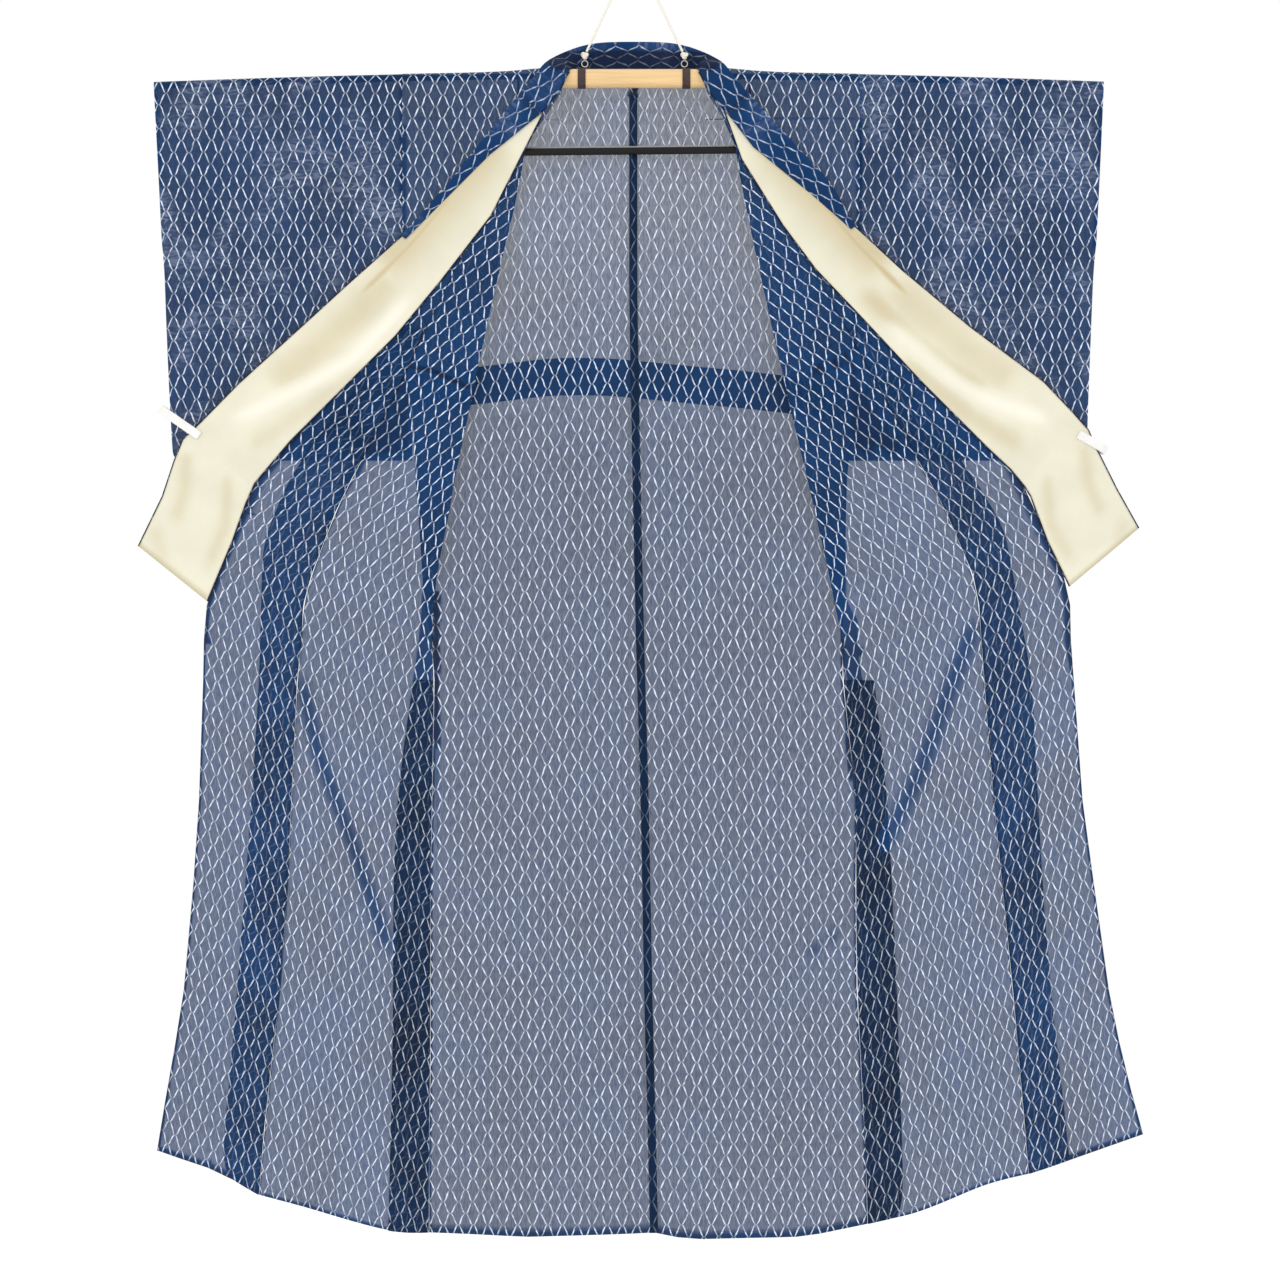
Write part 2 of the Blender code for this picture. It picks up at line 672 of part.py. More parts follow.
def make_neck():
    second = NECK[1]
    mirrored = (-second[0], *second[1:3], -second[3], *second[4:])
    sections = []
    for number, here in enumerate(NECK):
        before = NECK[number - 1] if number else mirrored
        after = NECK[min(number + 1, len(NECK) - 1)]
        sections.append((before, here, after))
    left = [neck_section(before, here, after, 1) for before, here, after in sections]
    right = [neck_section(before, here, after, -1) for before, here, after in sections[1:]]
    shift = SEAM_GAP / 2 + WALL / 2
    for line in (left[-1], right[-1]):
        for index, (x, y, z) in enumerate(line):
            line[index] = (x - math.copysign(shift, x) * 0.7, y, z + shift * 0.7)
    sheet("collar_back", list(reversed(right)) + left, MATERIALS["double"])


def bar_along_x(name, radius, half_length, centre, material, bevel=0.0, sides=28, tilt=0.0):
    bpy.ops.mesh.primitive_cylinder_add(vertices=sides, radius=radius * MM, depth=2 * half_length * MM,
                                        location=Vector(centre) * MM, rotation=(0.0, math.pi / 2 - tilt, 0.0))
    item = adopt(name, material)
    if bevel:
        round_edge = item.modifiers.new("round", "BEVEL")
        round_edge.width = bevel * MM
        round_edge.segments = 2
        round_edge.limit_method = "ANGLE"
    return item


def adopt(name, material):
    """Take the primitive just added into the part's collection, named and finished."""
    item = bpy.context.active_object
    item.name = name
    item.data.name = name
    for collection in list(item.users_collection):
        collection.objects.unlink(item)
    PART.objects.link(item)
    item.data.materials.clear()
    item.data.materials.append(material)
    item.data.shade_smooth()
    item.data.set_sharp_from_angle(angle=math.radians(40.0))
    return item


def wire(name, points, radius, material, resolution=2):
    curve = bpy.data.curves.new(name, "CURVE")
    curve.dimensions = "3D"
    curve.bevel_depth = radius * MM
    curve.bevel_resolution = resolution
    curve.use_fill_caps = True
    line = curve.splines.new("POLY")
    line.points.add(len(points) - 1)
    for target, point in zip(line.points, points):
        target.co = (*(Vector(point) * MM), 1.0)
    item = bpy.data.objects.new(name, curve)
    curve.materials.append(material)
    PART.objects.link(item)
    return item


def ball(name, centre, radius, squash, material):
    bpy.ops.mesh.primitive_uv_sphere_add(segments=12, ring_count=8, radius=radius * MM,
                                         location=Vector(centre) * MM)
    item = adopt(name, material)
    for vertex in item.data.vertices:
        vertex.co.z *= squash
    return item


def ring(name, centre, radius, wire_radius, rotation, material, sides=(14, 6)):
    bpy.ops.mesh.primitive_torus_add(major_radius=radius * MM, minor_radius=wire_radius * MM,
                                     major_segments=sides[0], minor_segments=sides[1],
                                     location=Vector(centre) * MM, rotation=rotation)
    return adopt(name, material)


def make_hanger():
    wood, dark, black = MATERIALS["wood"], MATERIALS["band"], MATERIALS["black"]
    bar_along_x("bar", BAR_RADIUS, BAR_HALF_LENGTH, (0, 0, BAR_Z), wood, bevel=1.2, sides=24)
    for side, word in SIDES:
        bpy.ops.mesh.primitive_cylinder_add(vertices=24, radius=BAND_RADIUS * MM, depth=BAND_WIDTH * MM,
                                            end_fill_type="NOTHING", rotation=(0.0, math.pi / 2, 0.0),
                                            location=Vector((side * BAND_X, 0, BAR_Z)) * MM)
        sleeve = adopt("band_" + word, dark)
        wall = sleeve.modifiers.new("wall", "SOLIDIFY")
        wall.thickness = BAND_WALL * MM
        wall.offset = 1.0
        path = []
        for step in range(ROD_STEPS + 1):
            x = lerp(BAR_HALF_LENGTH + SEAM_GAP, ROD_TIP[side], step / ROD_STEPS)
            path.append((side * x, 0.0, rod_z(x)))
        wire("rod_" + word, path, ROD_RADIUS, dark)
        link_x = side * LINK_X
        link_top = rod_z(LINK_X) - ROD_RADIUS - SEAM_GAP
        link_foot = SASH_Z + side * LINK_X * math.tan(SASH_TILT) + SASH_RADIUS + SEAM_GAP
        link_path = [(link_x, 0.0, lerp(link_top, link_foot, step / 2)) for step in range(3)]
        wire("link_" + word, link_path, LINK_RADIUS, black)
    bar_along_x("sash_bar", SASH_RADIUS, SASH_HALF_LENGTH, (0, 0, SASH_Z), black, bevel=1.5, sides=20,
                tilt=SASH_TILT)


def make_hanging():
    steel, cord = MATERIALS["steel"], MATERIALS["cord"]
    ring_z = -(RING_RADIUS - RING_WIRE)
    ring("hanging_ring", (0, 0, ring_z), RING_RADIUS, RING_WIRE, (math.pi / 2, 0.0, 0.0), steel, (24, 8))
    top = Vector((0.0, 0.0, ring_z - RING_RADIUS - RING_WIRE - SEAM_GAP - TOP_KNOT_RADIUS))
    ball("top_knot", top, TOP_KNOT_RADIUS, 1.0, cord)
    for side, word in SIDES:
        eye_z = BAR_Z + BAR_RADIUS + SEAM_GAP + EYE_RADIUS + EYE_WIRE
        if abs(EYE_X[side]) + EYE_RADIUS + EYE_WIRE > BAND_X - BAND_WIDTH / 2:
            eye_z += BAND_WALL + BAND_RADIUS - BAR_RADIUS
        ring("eye_" + word, (EYE_X[side], 0, eye_z), EYE_RADIUS, EYE_WIRE, (math.pi / 2, 0.0, 0.0), steel)
        knot = Vector((EYE_X[side], 0.0, eye_z + EYE_RADIUS + EYE_WIRE + SEAM_GAP + KNOT_RADIUS))
        ball("knot_" + word, knot, KNOT_RADIUS, 1.0, cord)
        way = (top - knot).normalized()
        start = knot + way * (KNOT_RADIUS + SEAM_GAP)
        end = top - way * (TOP_KNOT_RADIUS + SEAM_GAP)
        path = [start.lerp(end, step / 8) for step in range(9)]
        wire("cord_" + word, path, CORD_RADIUS, cord)


def make_clips():
    """A bent strip on each side that pinches the opened collar against the sleeve."""
    for side, word in SIDES:
        outer_x, outer_z, inner_x, inner_z = CLIP[side]
        outer = Vector((outer_x, 0.0, outer_z))
        inner = Vector((inner_x, 0.0, inner_z))
        along = (inner - outer).normalized()
        across = along.cross(Vector((0.0, 1.0, 0.0)))
        reach = (inner - outer).length
        front_y_here = CLIP_FRONT_Y[side]
        bend = (CLIP_BACK_Y - front_y_here) / 2
        middle = (CLIP_BACK_Y + front_y_here) / 2
        profile = [(reach, front_y_here), (reach * 0.5, front_y_here), (bend * 0.5, front_y_here)]
        for turn in (45.0, 90.0, 135.0):
            angle = math.radians(turn)
            profile.append((bend * 0.5 * (1.0 - math.sin(angle)), middle - bend * math.cos(angle)))
        profile += [(bend * 0.5, CLIP_BACK_Y), (reach * 0.5, CLIP_BACK_Y), (reach, CLIP_BACK_Y)]
        rows = []
        for run, y in profile:
            place = outer + along * (run - CLIP_BEND_OUT)
            rows.append([tuple(place + across * (share * CLIP_WIDTH / 2) + Vector((0.0, y, 0.0)))
                         for share in (-1, 0, 1)])
        clip = sheet("clip_" + word, rows, MATERIALS["white"], CLIP_WALL)
        round_edge = clip.modifiers.new("round", "BEVEL")
        round_edge.width = CLIP_ROUND * MM
        round_edge.segments = 1
        round_edge.limit_method = "ANGLE"


clear_scene()
PART = bpy.data.collections.new("kimono")
bpy.context.scene.collection.children.link(PART)
MATERIALS = {
    "gauze": make_material("indigo silk gauze", (0.13, 0.17, 0.26), 0.75),
    "sleeve": make_material("indigo silk gauze two layers", (0.03, 0.06, 0.12), 0.75),
    "double": make_material("indigo silk gauze folded", (0.02, 0.05, 0.13), 0.75),
    "seam": make_material("folded seam", (0.012, 0.016, 0.035), 0.8),
    "cream": make_material("cream silk lining", (0.87, 0.84, 0.65), 0.6),
    "wood": make_material("pale varnished wood", (0.85, 0.61, 0.31), 0.4),
    "band": make_material("dark brown band", (0.05, 0.03, 0.025), 0.5),
    "black": make_material("black enamel", (0.03, 0.03, 0.03), 0.35),
    "cord": make_material("white cotton cord", (0.8, 0.78, 0.7), 0.8),
    "steel": make_material("nickel plated steel", (0.7, 0.7, 0.68), 0.3, 1.0),
    "white": make_material("white plastic", (0.85, 0.84, 0.82), 0.4),
}
make_backs()
make_shoulders()
make_binding()
make_tucks()
make_sleeves()
make_fronts()
make_flaps()
make_overlaps()
make_allowances()
make_collars()
make_neck()
make_hanger()
make_hanging()
make_clips()
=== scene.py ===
"""Sheer silk kimono hung open on a telescopic hanger: the dressed model and its studio.

Frame: metres, +Z up, +X to the right of someone who faces the garment, +Y away from them.
Named lengths and tables are in millimetres where nothing else is said.
"""
import json
import math

import bmesh
import bpy
import numpy as np
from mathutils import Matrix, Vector, bvhtree, kdtree

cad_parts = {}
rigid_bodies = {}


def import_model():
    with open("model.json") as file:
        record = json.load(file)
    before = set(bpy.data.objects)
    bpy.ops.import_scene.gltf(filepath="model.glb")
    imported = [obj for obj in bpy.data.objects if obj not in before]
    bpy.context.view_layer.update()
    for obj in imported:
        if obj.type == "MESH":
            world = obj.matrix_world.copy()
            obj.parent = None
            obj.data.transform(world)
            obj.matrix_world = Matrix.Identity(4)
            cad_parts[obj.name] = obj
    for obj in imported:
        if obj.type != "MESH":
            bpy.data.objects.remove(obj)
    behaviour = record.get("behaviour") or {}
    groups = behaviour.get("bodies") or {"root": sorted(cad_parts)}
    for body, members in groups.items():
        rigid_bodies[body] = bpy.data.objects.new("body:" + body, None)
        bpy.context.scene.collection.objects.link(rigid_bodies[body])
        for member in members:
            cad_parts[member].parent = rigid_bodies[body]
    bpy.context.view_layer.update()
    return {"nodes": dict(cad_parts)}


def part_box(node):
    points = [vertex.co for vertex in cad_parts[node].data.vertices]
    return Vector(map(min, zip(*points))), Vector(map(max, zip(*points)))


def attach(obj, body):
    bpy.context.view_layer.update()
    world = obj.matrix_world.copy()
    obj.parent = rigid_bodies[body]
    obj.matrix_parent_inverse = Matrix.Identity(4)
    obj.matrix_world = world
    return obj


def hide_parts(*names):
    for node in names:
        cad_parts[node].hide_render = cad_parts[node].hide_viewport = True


bl_info = {
    "name": "Silk Gauze Kimono",
    "version": (1, 0, 0),
    "blender": (4, 5, 0),
    "location": "View3D > Sidebar > Kimono",
    "description": "Dresses a sheer silk kimono on its hanger, piece by piece",
    "category": "Object",
}

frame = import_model()

MM = 0.001
BODY = "root"
AWAY = Vector((0, 1, 0))
IN_FRONT = -300  # a depth nearer to the viewer than all of the garment
SIDES = ((-1, "left"), (1, "right"))
GRAIN = "cloth"  # UV map that holds a sheet's own grain, in metres of flat cloth
DENSITY_AND_PAINTED_LIGHT = "density_and_painted_light"  # attribute that says how the cloth is gathered and holds painted shade and painted highlight, see gauze() and plain_silk()
WELD = 0.02  # points of a solid closer than this are one
RIM_WIDTH = 1.35  # a face with an edge shorter than this is the cut edge of a solid
SHOULDER_GAP = 2  # from the bar's surface to the cloth
SHOULDER_END = -262  # above this height the body cloth runs on uncut from solid to solid
STITCH_PITCH = 6
STITCH_LENGTH = 3.2
STITCH_STEP = 1.5  # a stitch that would reach further in depth than this is left out
THREAD_RADIUS = 0.22
THREAD_SIDES = 5
THREAD_END = 0.45  # thickness of a stitch's two ends
THREAD_LIFT = 1.1  # height of a stitch's middle line over the cloth, in thread radii
HEM_DEPTH = 9  # from a hem's edge to its row of stitches
SEAM_OVERLAP = 0.3  # an uncut length reaches this far past its solid, to meet the next one
BACK_OVERLAP = {-1: 0.3, 1: 1.4}
SAG_MIDDLE, SAG_REACH = -950, 560
BACK_SAG = 0.11  # fall of the back's weft from the centre seam, for each length outwards
WEFT_TILT = math.tan(math.radians(22))
FAR_LEAN = 0.035  # the sleeve's far wall hangs a little askew, as its crossing net shows
BAND_SOFTNESS = 2.5
FOLD_FADE = 0.15  # a fold fades out over this share of its length, at both ends
EDGE_REST = 12  # a sheet's folds fade out over this distance from its edge
BILLOW_REST = 40
LOWER_SHARE = 0.38  # how much denser the body cloth looks near the hem, and from where on
HEAVY_BELOW, HEAVY_RISE = -330, 420
KNOT_GAP = 0.3  # from a knot's surface to the end of its cord
KNOT_CORD = 0.32  # radius of a knot's cord, as a share of the knot's radius
KNOT_POINTS, CORD_POINTS = 72, 24
BAR_END = (86, -186)  # where the collar's lower edge drops behind the bar: x, z
BAR_END_REACH, COLLAR_DROP = 18, 7

# Camera, floor and lights, in metres
CAMERA_X, CAMERA_Z = 0.008, -0.954
FLOOR_RADIUS, FLOOR_LEVEL = 3.6, -1.95
LIGHT_AIM = -0.9

# The net: stroke width and paste on the level of a wave, what a steep part adds, and its soft edge
LEVEL_WIDTH, STEEP_WIDTH = 0.6, 0.45
LEVEL_PASTE, STEEP_PASTE = 0.3, 1.1
STROKE_EDGE = (-0.28, 0.32)
NET_WANDER = 2.4  # how far its lines stray from their chart
FOLD_SHIFT = (6, 9, 0)
FOLD_TURN = math.radians(-27)

# Opacity of a closed fold and of a white stroke, and how unevenly the open weave lets light through
FOLD_COVER = 0.988
STROKE_COVER = 0.99
WEAVE_SPREAD = 0.32
NOISE_RANGE = (0.3, 0.7)  # nearly all values of a noise lie in it


def linear(code):
    """Linear colour of an sRGB hex value."""
    parts = [int(code[place:place + 2], 16) / 255 for place in (1, 3, 5)]
    return tuple(part / 12.92 if part <= 0.04045 else ((part + 0.055) / 1.055) ** 2.4 for part in parts)


def colour(label, text, code):
    return bpy.props.FloatVectorProperty(name=label, description=text, subtype="COLOR", size=3,
                                         min=0, max=1, default=linear(code))


def length(label, text, value):
    return bpy.props.FloatProperty(name=label, description=text, subtype="DISTANCE", unit="LENGTH",
                                   min=0, default=value)


def share(label, text, value):
    return bpy.props.FloatProperty(name=label, description=text, subtype="FACTOR", min=0, max=1,
                                   default=value)


class KimonoCloth(bpy.types.PropertyGroup):
    """Sizes and colours of the silk."""

    cell_width: length("Cell width", "Width of one cell of the net pattern", 0.020)
    cell_height: length("Cell height", "Height of one cell of the net pattern", 0.0315)
    stroke: length("Stroke width", "Width of the white lines of the net", 0.0016)
    ground: colour("Ground", "Indigo of the gauze", "#07315C")
    line: colour("Line", "White left by the paste resist", "#E3ECFB")
    # The seam colour also paints shade, at the back of the neck and beside the left side seam
    seam: colour("Seam", "Folded seams, where the indigo lies several times", "#0E1630")
    haze: colour("Haze", "Pale smudges where two layers lie close", "#8C97B4")
    lining: colour("Lining", "Plain silk inside the collar", "#E6E2CC")
    # Painted light on the lining: the crease colour is painted shade on the side of each fold turned from
    # the light, the gleam a painted highlight along its ridge
    crease_shade: colour("Crease", "Creases of the plain silk", "#C4B081")
    painted_highlight: colour("Gleam", "Ridges of the plain silk, where it catches the light", "#F9F2E2")
    cover: share("Cover", "How much one layer of gauze hides", 0.785)
    sleeve_cover: share("Sleeve cover", "How much one layer of a sleeve hides", 0.84)
    folded_cover: share("Folded cover", "How much folded gauze hides", 0.93)


class KimonoHanger(bpy.types.PropertyGroup):
    """Sizes and colours of the hanger."""

    cord_diameter: length("Cord diameter", "Braided cotton cord", 0.0032)
    wood: colour("Wood", "Varnished bar", "#EBC68C")
    band: colour("Bands", "Dark bands on the bar", "#3A2420")
    rod: colour("Rods", "Telescopic rods", "#2B292C")
    enamel: colour("Sash bar", "Black enamel", "#0D0D0E")
    cord: colour("Cord", "White cotton", "#EFEADD")
    clip: colour("Clips", "White moulded plastic", "#F0EEEB")


class KimonoStudio(bpy.types.PropertyGroup):
    """Camera and light."""

    distance: length("Camera distance", "From the camera to the garment", 4.764)
    paper: colour("Backdrop", "Pale floor of the studio", "#FFFFFF")


def smooth(value):
    value = np.clip(value, 0, 1)
    return value * value * (3 - 2 * value)


def feed(tree, item, inputs):
    """Give a node its inputs: numbers, colours or sockets to link from."""
    for key, value in inputs.items():
        if isinstance(value, bpy.types.NodeSocket):
            tree.links.new(value, item.inputs[key])
        else:
            item.inputs[key].default_value = value


def add_node(tree, kind, settings=None, inputs=None):
    item = tree.nodes.new(kind)
    for key, value in (settings or {}).items():
        setattr(item, key, value)
    feed(tree, item, inputs or {})
    return item


def calculate(tree, operation, *values):
    """Result of one step of arithmetic."""
    return add_node(tree, "ShaderNodeMath", {"operation": operation}, dict(enumerate(values))).outputs[0]


def scaled(tree, vector, factor):
    """A place or a colour times a factor."""
    return add_node(tree, "ShaderNodeVectorMath", {"operation": "SCALE"},
                    {0: vector, "Scale": factor}).outputs[0]


def shader_of(material):
    return material.node_tree.nodes["Principled BSDF"]


def new_material(name):
    """An empty material; returns it with its tree and its shader."""
    material = bpy.data.materials.new(name)
    material.use_nodes = True
    return material, material.node_tree, shader_of(material)


def net_steps(cloth):
    """The net: wavy lines across the cloth that swing against each other until neighbours touch."""
    half = cloth.cell_height / MM / 2
    reach = half / 2
    pace = 2 * math.pi / (cloth.cell_width / MM)
    return (
        ("turn", "MULTIPLY", "u", pace),
        ("sine", "SINE", "turn", 0),
        ("slope", "COSINE", "turn", 0),
        ("swing", "MULTIPLY", "sine", reach),
        ("even", "SUBTRACT", "v", "swing"),
        ("even_gap", "PINGPONG", "even", half),
        ("odd", "ADD", "v", "swing"),
        ("odd_place", "SUBTRACT", "odd", half),
        ("odd_gap", "PINGPONG", "odd_place", half),
        ("gap", "MINIMUM", "even_gap", "odd_gap"),
        ("steep", "MULTIPLY", "slope", "slope"),
        ("tilt", "MULTIPLY", "steep", (reach * pace) ** 2),
        ("stretch", "ADD", "tilt", 1),
        ("root", "SQRT", "stretch", 0),
        ("away", "DIVIDE", "gap", "root"),
        ("taper", "MULTIPLY", "steep", STEEP_WIDTH),
        ("width", "ADD", "taper", LEVEL_WIDTH),
        ("half_stroke", "MULTIPLY", "width", cloth.stroke / MM / 2),
        ("brushed", "MULTIPLY", "half_stroke", "brush"),
        ("inside", "SUBTRACT", "brushed", "away"),
        ("rise", "MULTIPLY", "steep", STEEP_PASTE),
        ("charged", "ADD", "rise", LEVEL_PASTE),
        ("full", "MINIMUM", "charged", 1),
        ("loaded", "MULTIPLY", "full", "wet"),
    )


def noise(tree, vector, scale, detail=2, distortion=0, output="Fac"):
    """Flat noise; a pair of scales stretches it along one axis."""
    if isinstance(scale, tuple):
        inputs = {"Vector": vector, "Scale": (*scale, 1)}
        vector = add_node(tree, "ShaderNodeMapping", None, inputs).outputs[0]
        scale = 1
    inputs = {"Vector": vector, "Scale": scale, "Detail": detail, "Distortion": distortion}
    return add_node(tree, "ShaderNodeTexNoise", {"noise_dimensions": "2D"}, inputs).outputs[output]


def remap(tree, value, source, target, soft=False):
    """Value carried from one range to another and held at its ends."""
    return add_node(tree, "ShaderNodeMapRange", {"interpolation_type": "SMOOTHSTEP" if soft else "LINEAR"},
                    {"Value": value, "From Min": source[0], "From Max": source[1],
                     "To Min": target[0], "To Max": target[1]}).outputs[0]


def blend(tree, factor, first, second, kind="RGBA"):
    """Mix of two colours or two values; a colour may be three plain numbers."""
    slots = {"RGBA": (6, 7, 2), "FLOAT": (2, 3, 0)}[kind]
    pair = [(*item, 1) if isinstance(item, (tuple, list)) or hasattr(item, "hsv") else item
            for item in (first, second)]
    inputs = {0: factor, slots[0]: pair[0], slots[1]: pair[1]}
    mixed = add_node(tree, "ShaderNodeMix", {"data_type": kind}, inputs)
    return mixed.outputs[slots[2]]


def relief(tree, height, strength, distance):
    """Direction of a surface with a small relief on it."""
    inputs = {"Height": height, "Strength": strength, "Distance": distance}
    return add_node(tree, "ShaderNodeBump", None, inputs).outputs[0]


def read_density_and_painted_light(tree):
    return add_node(tree, "ShaderNodeAttribute", {"attribute_name": DENSITY_AND_PAINTED_LIGHT}).outputs["Fac"]


def flat_place(tree):
    """The sheet's own grain, in millimetres of flat cloth."""
    return scaled(tree, add_node(tree, "ShaderNodeUVMap", {"uv_map": GRAIN}).outputs[0], 1 / MM)


def draw_net(tree, place, brush, wet):
    """White strokes of the net on the grain given; how much of each point they fill."""
    parts = add_node(tree, "ShaderNodeSeparateXYZ", None, {0: place})
    sockets = {"u": parts.outputs[0], "v": parts.outputs[1], "brush": brush, "wet": wet}
    for label, operation, first, second in net_steps(bpy.context.scene.kimono_cloth):
        values = [sockets.get(value, value) for value in (first, second)]
        sockets[label] = calculate(tree, operation, *values)
    edge = remap(tree, sockets["inside"], STROKE_EDGE, (0, 1), soft=True)
    return calculate(tree, "MULTIPLY", edge, sockets["loaded"])


def gauze(name, cover, strength=1, shade=1, haze=0, under=0):
    """Silk gauze, woven open and dyed through a paste stencil: sheer indigo, white net, soft sheen.

    The density says how the cloth is gathered: 1 is a fold that hides what is behind it, 2 is a
    pressed seam, nearly black. At the back of the neck and beside the left side seam the same
    darkening is painted shade. Folded cloth shows the net of its lower layer too, by the share
    under, turned as the fold turns it. The threads are 0.3 mm apart, too fine to show, so their
    unevenness is drawn as streaks 2 mm wide and 12 mm long, down the warp.
    """
    cloth = bpy.context.scene.kimono_cloth
    material, tree, shader = new_material(name)
    flat = flat_place(tree)
    wander = noise(tree, flat, 0.045, 1, output="Color")
    moved = add_node(tree, "ShaderNodeVectorMath", {"operation": "MULTIPLY_ADD"},
                     {0: wander, 1: (NET_WANDER, NET_WANDER, 0), 2: flat}).outputs[0]
    brush = remap(tree, noise(tree, flat, 0.17), NOISE_RANGE, (0.6, 1.3))
    wet = remap(tree, noise(tree, flat, 0.075, 3), (0.34, 0.56), (0.45, 1))
    stroke = draw_net(tree, moved, brush, wet)
    if under:
        turned = add_node(tree, "ShaderNodeMapping", None,
                          {"Vector": moved, "Location": FOLD_SHIFT, "Rotation": (0, 0, FOLD_TURN)})
        lower = calculate(tree, "MULTIPLY", draw_net(tree, turned.outputs[0], brush, wet), under)
        stroke = calculate(tree, "MAXIMUM", stroke, lower)
    slub = noise(tree, flat, (0.5, 0.085), 3)
    depth = 0.3 if under else 0.18
    dye = remap(tree, noise(tree, flat, 0.009), NOISE_RANGE, ((1 - depth) * shade, (1 + depth) * shade))
    base = scaled(tree, cloth.ground, dye)
    if haze:
        # Two layers that lie close cross into pale ripples
        patch = remap(tree, noise(tree, flat, (0.013, 0.010)), (0.42, 0.66), (0, 1), soft=True)
        ripple = noise(tree, flat, (0.045, 0.13), 3, 1.2)
        ripple = remap(tree, ripple, (0.44, 0.68), (0.15, 1), soft=True)
        pale = calculate(tree, "MULTIPLY", calculate(tree, "MULTIPLY", patch, ripple), haze)
        base = blend(tree, pale, base, cloth.haze)
    density_and_painted_light = read_density_and_painted_light(tree)
    # A density above 1 darkens the indigo towards the seam colour: pressed seams, and painted shade at the
    # back of the neck and beside the left side seam
    pressed = remap(tree, density_and_painted_light, (1, 2), (0, 1))
    base = blend(tree, pressed, base, cloth.seam)
    shown = calculate(tree, "MULTIPLY_ADD", pressed, -0.9 * strength, strength)
    white = calculate(tree, "MULTIPLY", stroke, shown)
    spread = WEAVE_SPREAD * (1 - cover)
    weave = remap(tree, slub, (0.28, 0.72), (cover - spread, cover + spread))
    held = blend(tree, density_and_painted_light, weave, FOLD_COVER, "FLOAT")
    feed(tree, shader, {
        "Base Color": blend(tree, white, base, cloth.line),
        "Alpha": blend(tree, white, held, STROKE_COVER, "FLOAT"),
        "Normal": relief(tree, slub, 0.25, 0.0005),
        "Roughness": 0.55,
        "Specular IOR Level": 0.1,
    })
    return material


def solid_finish(name, tint, roughness, grain_scale, contrast, metallic=0, coat=0, bump=0.0002):
    """A hard finish whose colour and gloss vary softly along the piece."""
    material, tree, shader = new_material(name)
    place = add_node(tree, "ShaderNodeTexCoord").outputs["Object"]
    stretch = add_node(tree, "ShaderNodeMapping", None, {"Vector": place, "Scale": grain_scale})
    mottle = add_node(tree, "ShaderNodeTexNoise", None,
                      {"Vector": stretch.outputs[0], "Scale": 1, "Detail": 5}).outputs[0]
    tone = remap(tree, mottle, NOISE_RANGE, (1 - contrast, 1 + contrast))
    feed(tree, shader, {
        "Base Color": scaled(tree, tint, tone),
        "Roughness": remap(tree, mottle, (0, 1), (roughness * 0.8, roughness * 1.2)),
        "Normal": relief(tree, mottle, 0.3, bump),
        "Metallic": metallic,
        "Coat Weight": coat,
    })
    return material


def catch_light(material, amount, tint):
    """Painted highlight: lighten the colour on the top of a round tube, where the light above it runs along
    as one thin line.
    """
    tree = material.node_tree
    shader = shader_of(material)
    before = shader.inputs["Base Color"].links[0].from_socket
    shape = add_node(tree, "ShaderNodeNewGeometry")
    parts = add_node(tree, "ShaderNodeSeparateXYZ", None, {0: shape.outputs["Normal"]})
    band = remap(tree, parts.outputs[2], (0.5, 0.8), (0, amount), soft=True)
    tree.links.new(blend(tree, band, before, tint), shader.inputs["Base Color"])


def plain_silk(name):
    """Plain cream silk, calendered smooth: a soft sheen, a fine even weave drawn 2 mm coarse, painted crease
    shade and ridge highlight.
    """
    cloth = bpy.context.scene.kimono_cloth
    material, tree, shader = new_material(name)
    flat = flat_place(tree)
    tone = remap(tree, noise(tree, flat, 0.014, 3), NOISE_RANGE, (0.95, 1.04))
    density_and_painted_light = read_density_and_painted_light(tree)
    # Painted shade in the crease colour where the density is above 0, painted highlight in the gleam where
    # it is below 0
    crease_shaded = blend(tree, density_and_painted_light, scaled(tree, cloth.lining, tone), cloth.crease_shade)
    ridge_highlight = remap(tree, density_and_painted_light, (-0.9, 0), (1, 0))
    feed(tree, shader, {
        "Base Color": blend(tree, ridge_highlight, crease_shaded, cloth.painted_highlight),
        "Normal": relief(tree, noise(tree, flat, 0.5), 0.2, 0.0004),
        "Roughness": 0.5,
        "Specular IOR Level": 0.25,
    })
    return material


def activate(item):
    bpy.ops.object.select_all(action="DESELECT")
    item.select_set(True)
    bpy.context.view_layer.objects.active = item


def place_object(name, data, location=(0, 0, 0), turn=(0, 0, 0)):
    item = bpy.data.objects.new(name, data)
    item.location = location
    item.rotation_euler = turn
    bpy.context.scene.collection.objects.link(item)
    return item


def link_mesh(name, mesh, material):
    mesh.materials.clear()
    mesh.materials.append(material)
    return place_object(name, mesh)


def reshape(item, kind, **settings):
    """Apply one modifier to a mesh."""
    activate(item)
    step = item.modifiers.new("step", kind)
    for key, value in settings.items():
        setattr(step, key, value)
    bpy.ops.object.modifier_apply(modifier=step.name)


def read_all(items, key, width=1, kind=int):
    """A value or a row of values for each item of a mesh."""
    values = np.zeros(len(items) * width, dtype=kind)
    items.foreach_get(key, values)
    return values.reshape(-1, width) if width > 1 else values


def connected_parts(shape):
    """Faces grouped by the edges they share."""
    waiting = set(shape.faces)
    parts = []
    while waiting:
        part = [waiting.pop()]
        for known in part:
            near = waiting.intersection(face for edge in known.edges for face in edge.link_faces)
            waiting -= near
            part.extend(near)
        parts.append(part)
    return parts


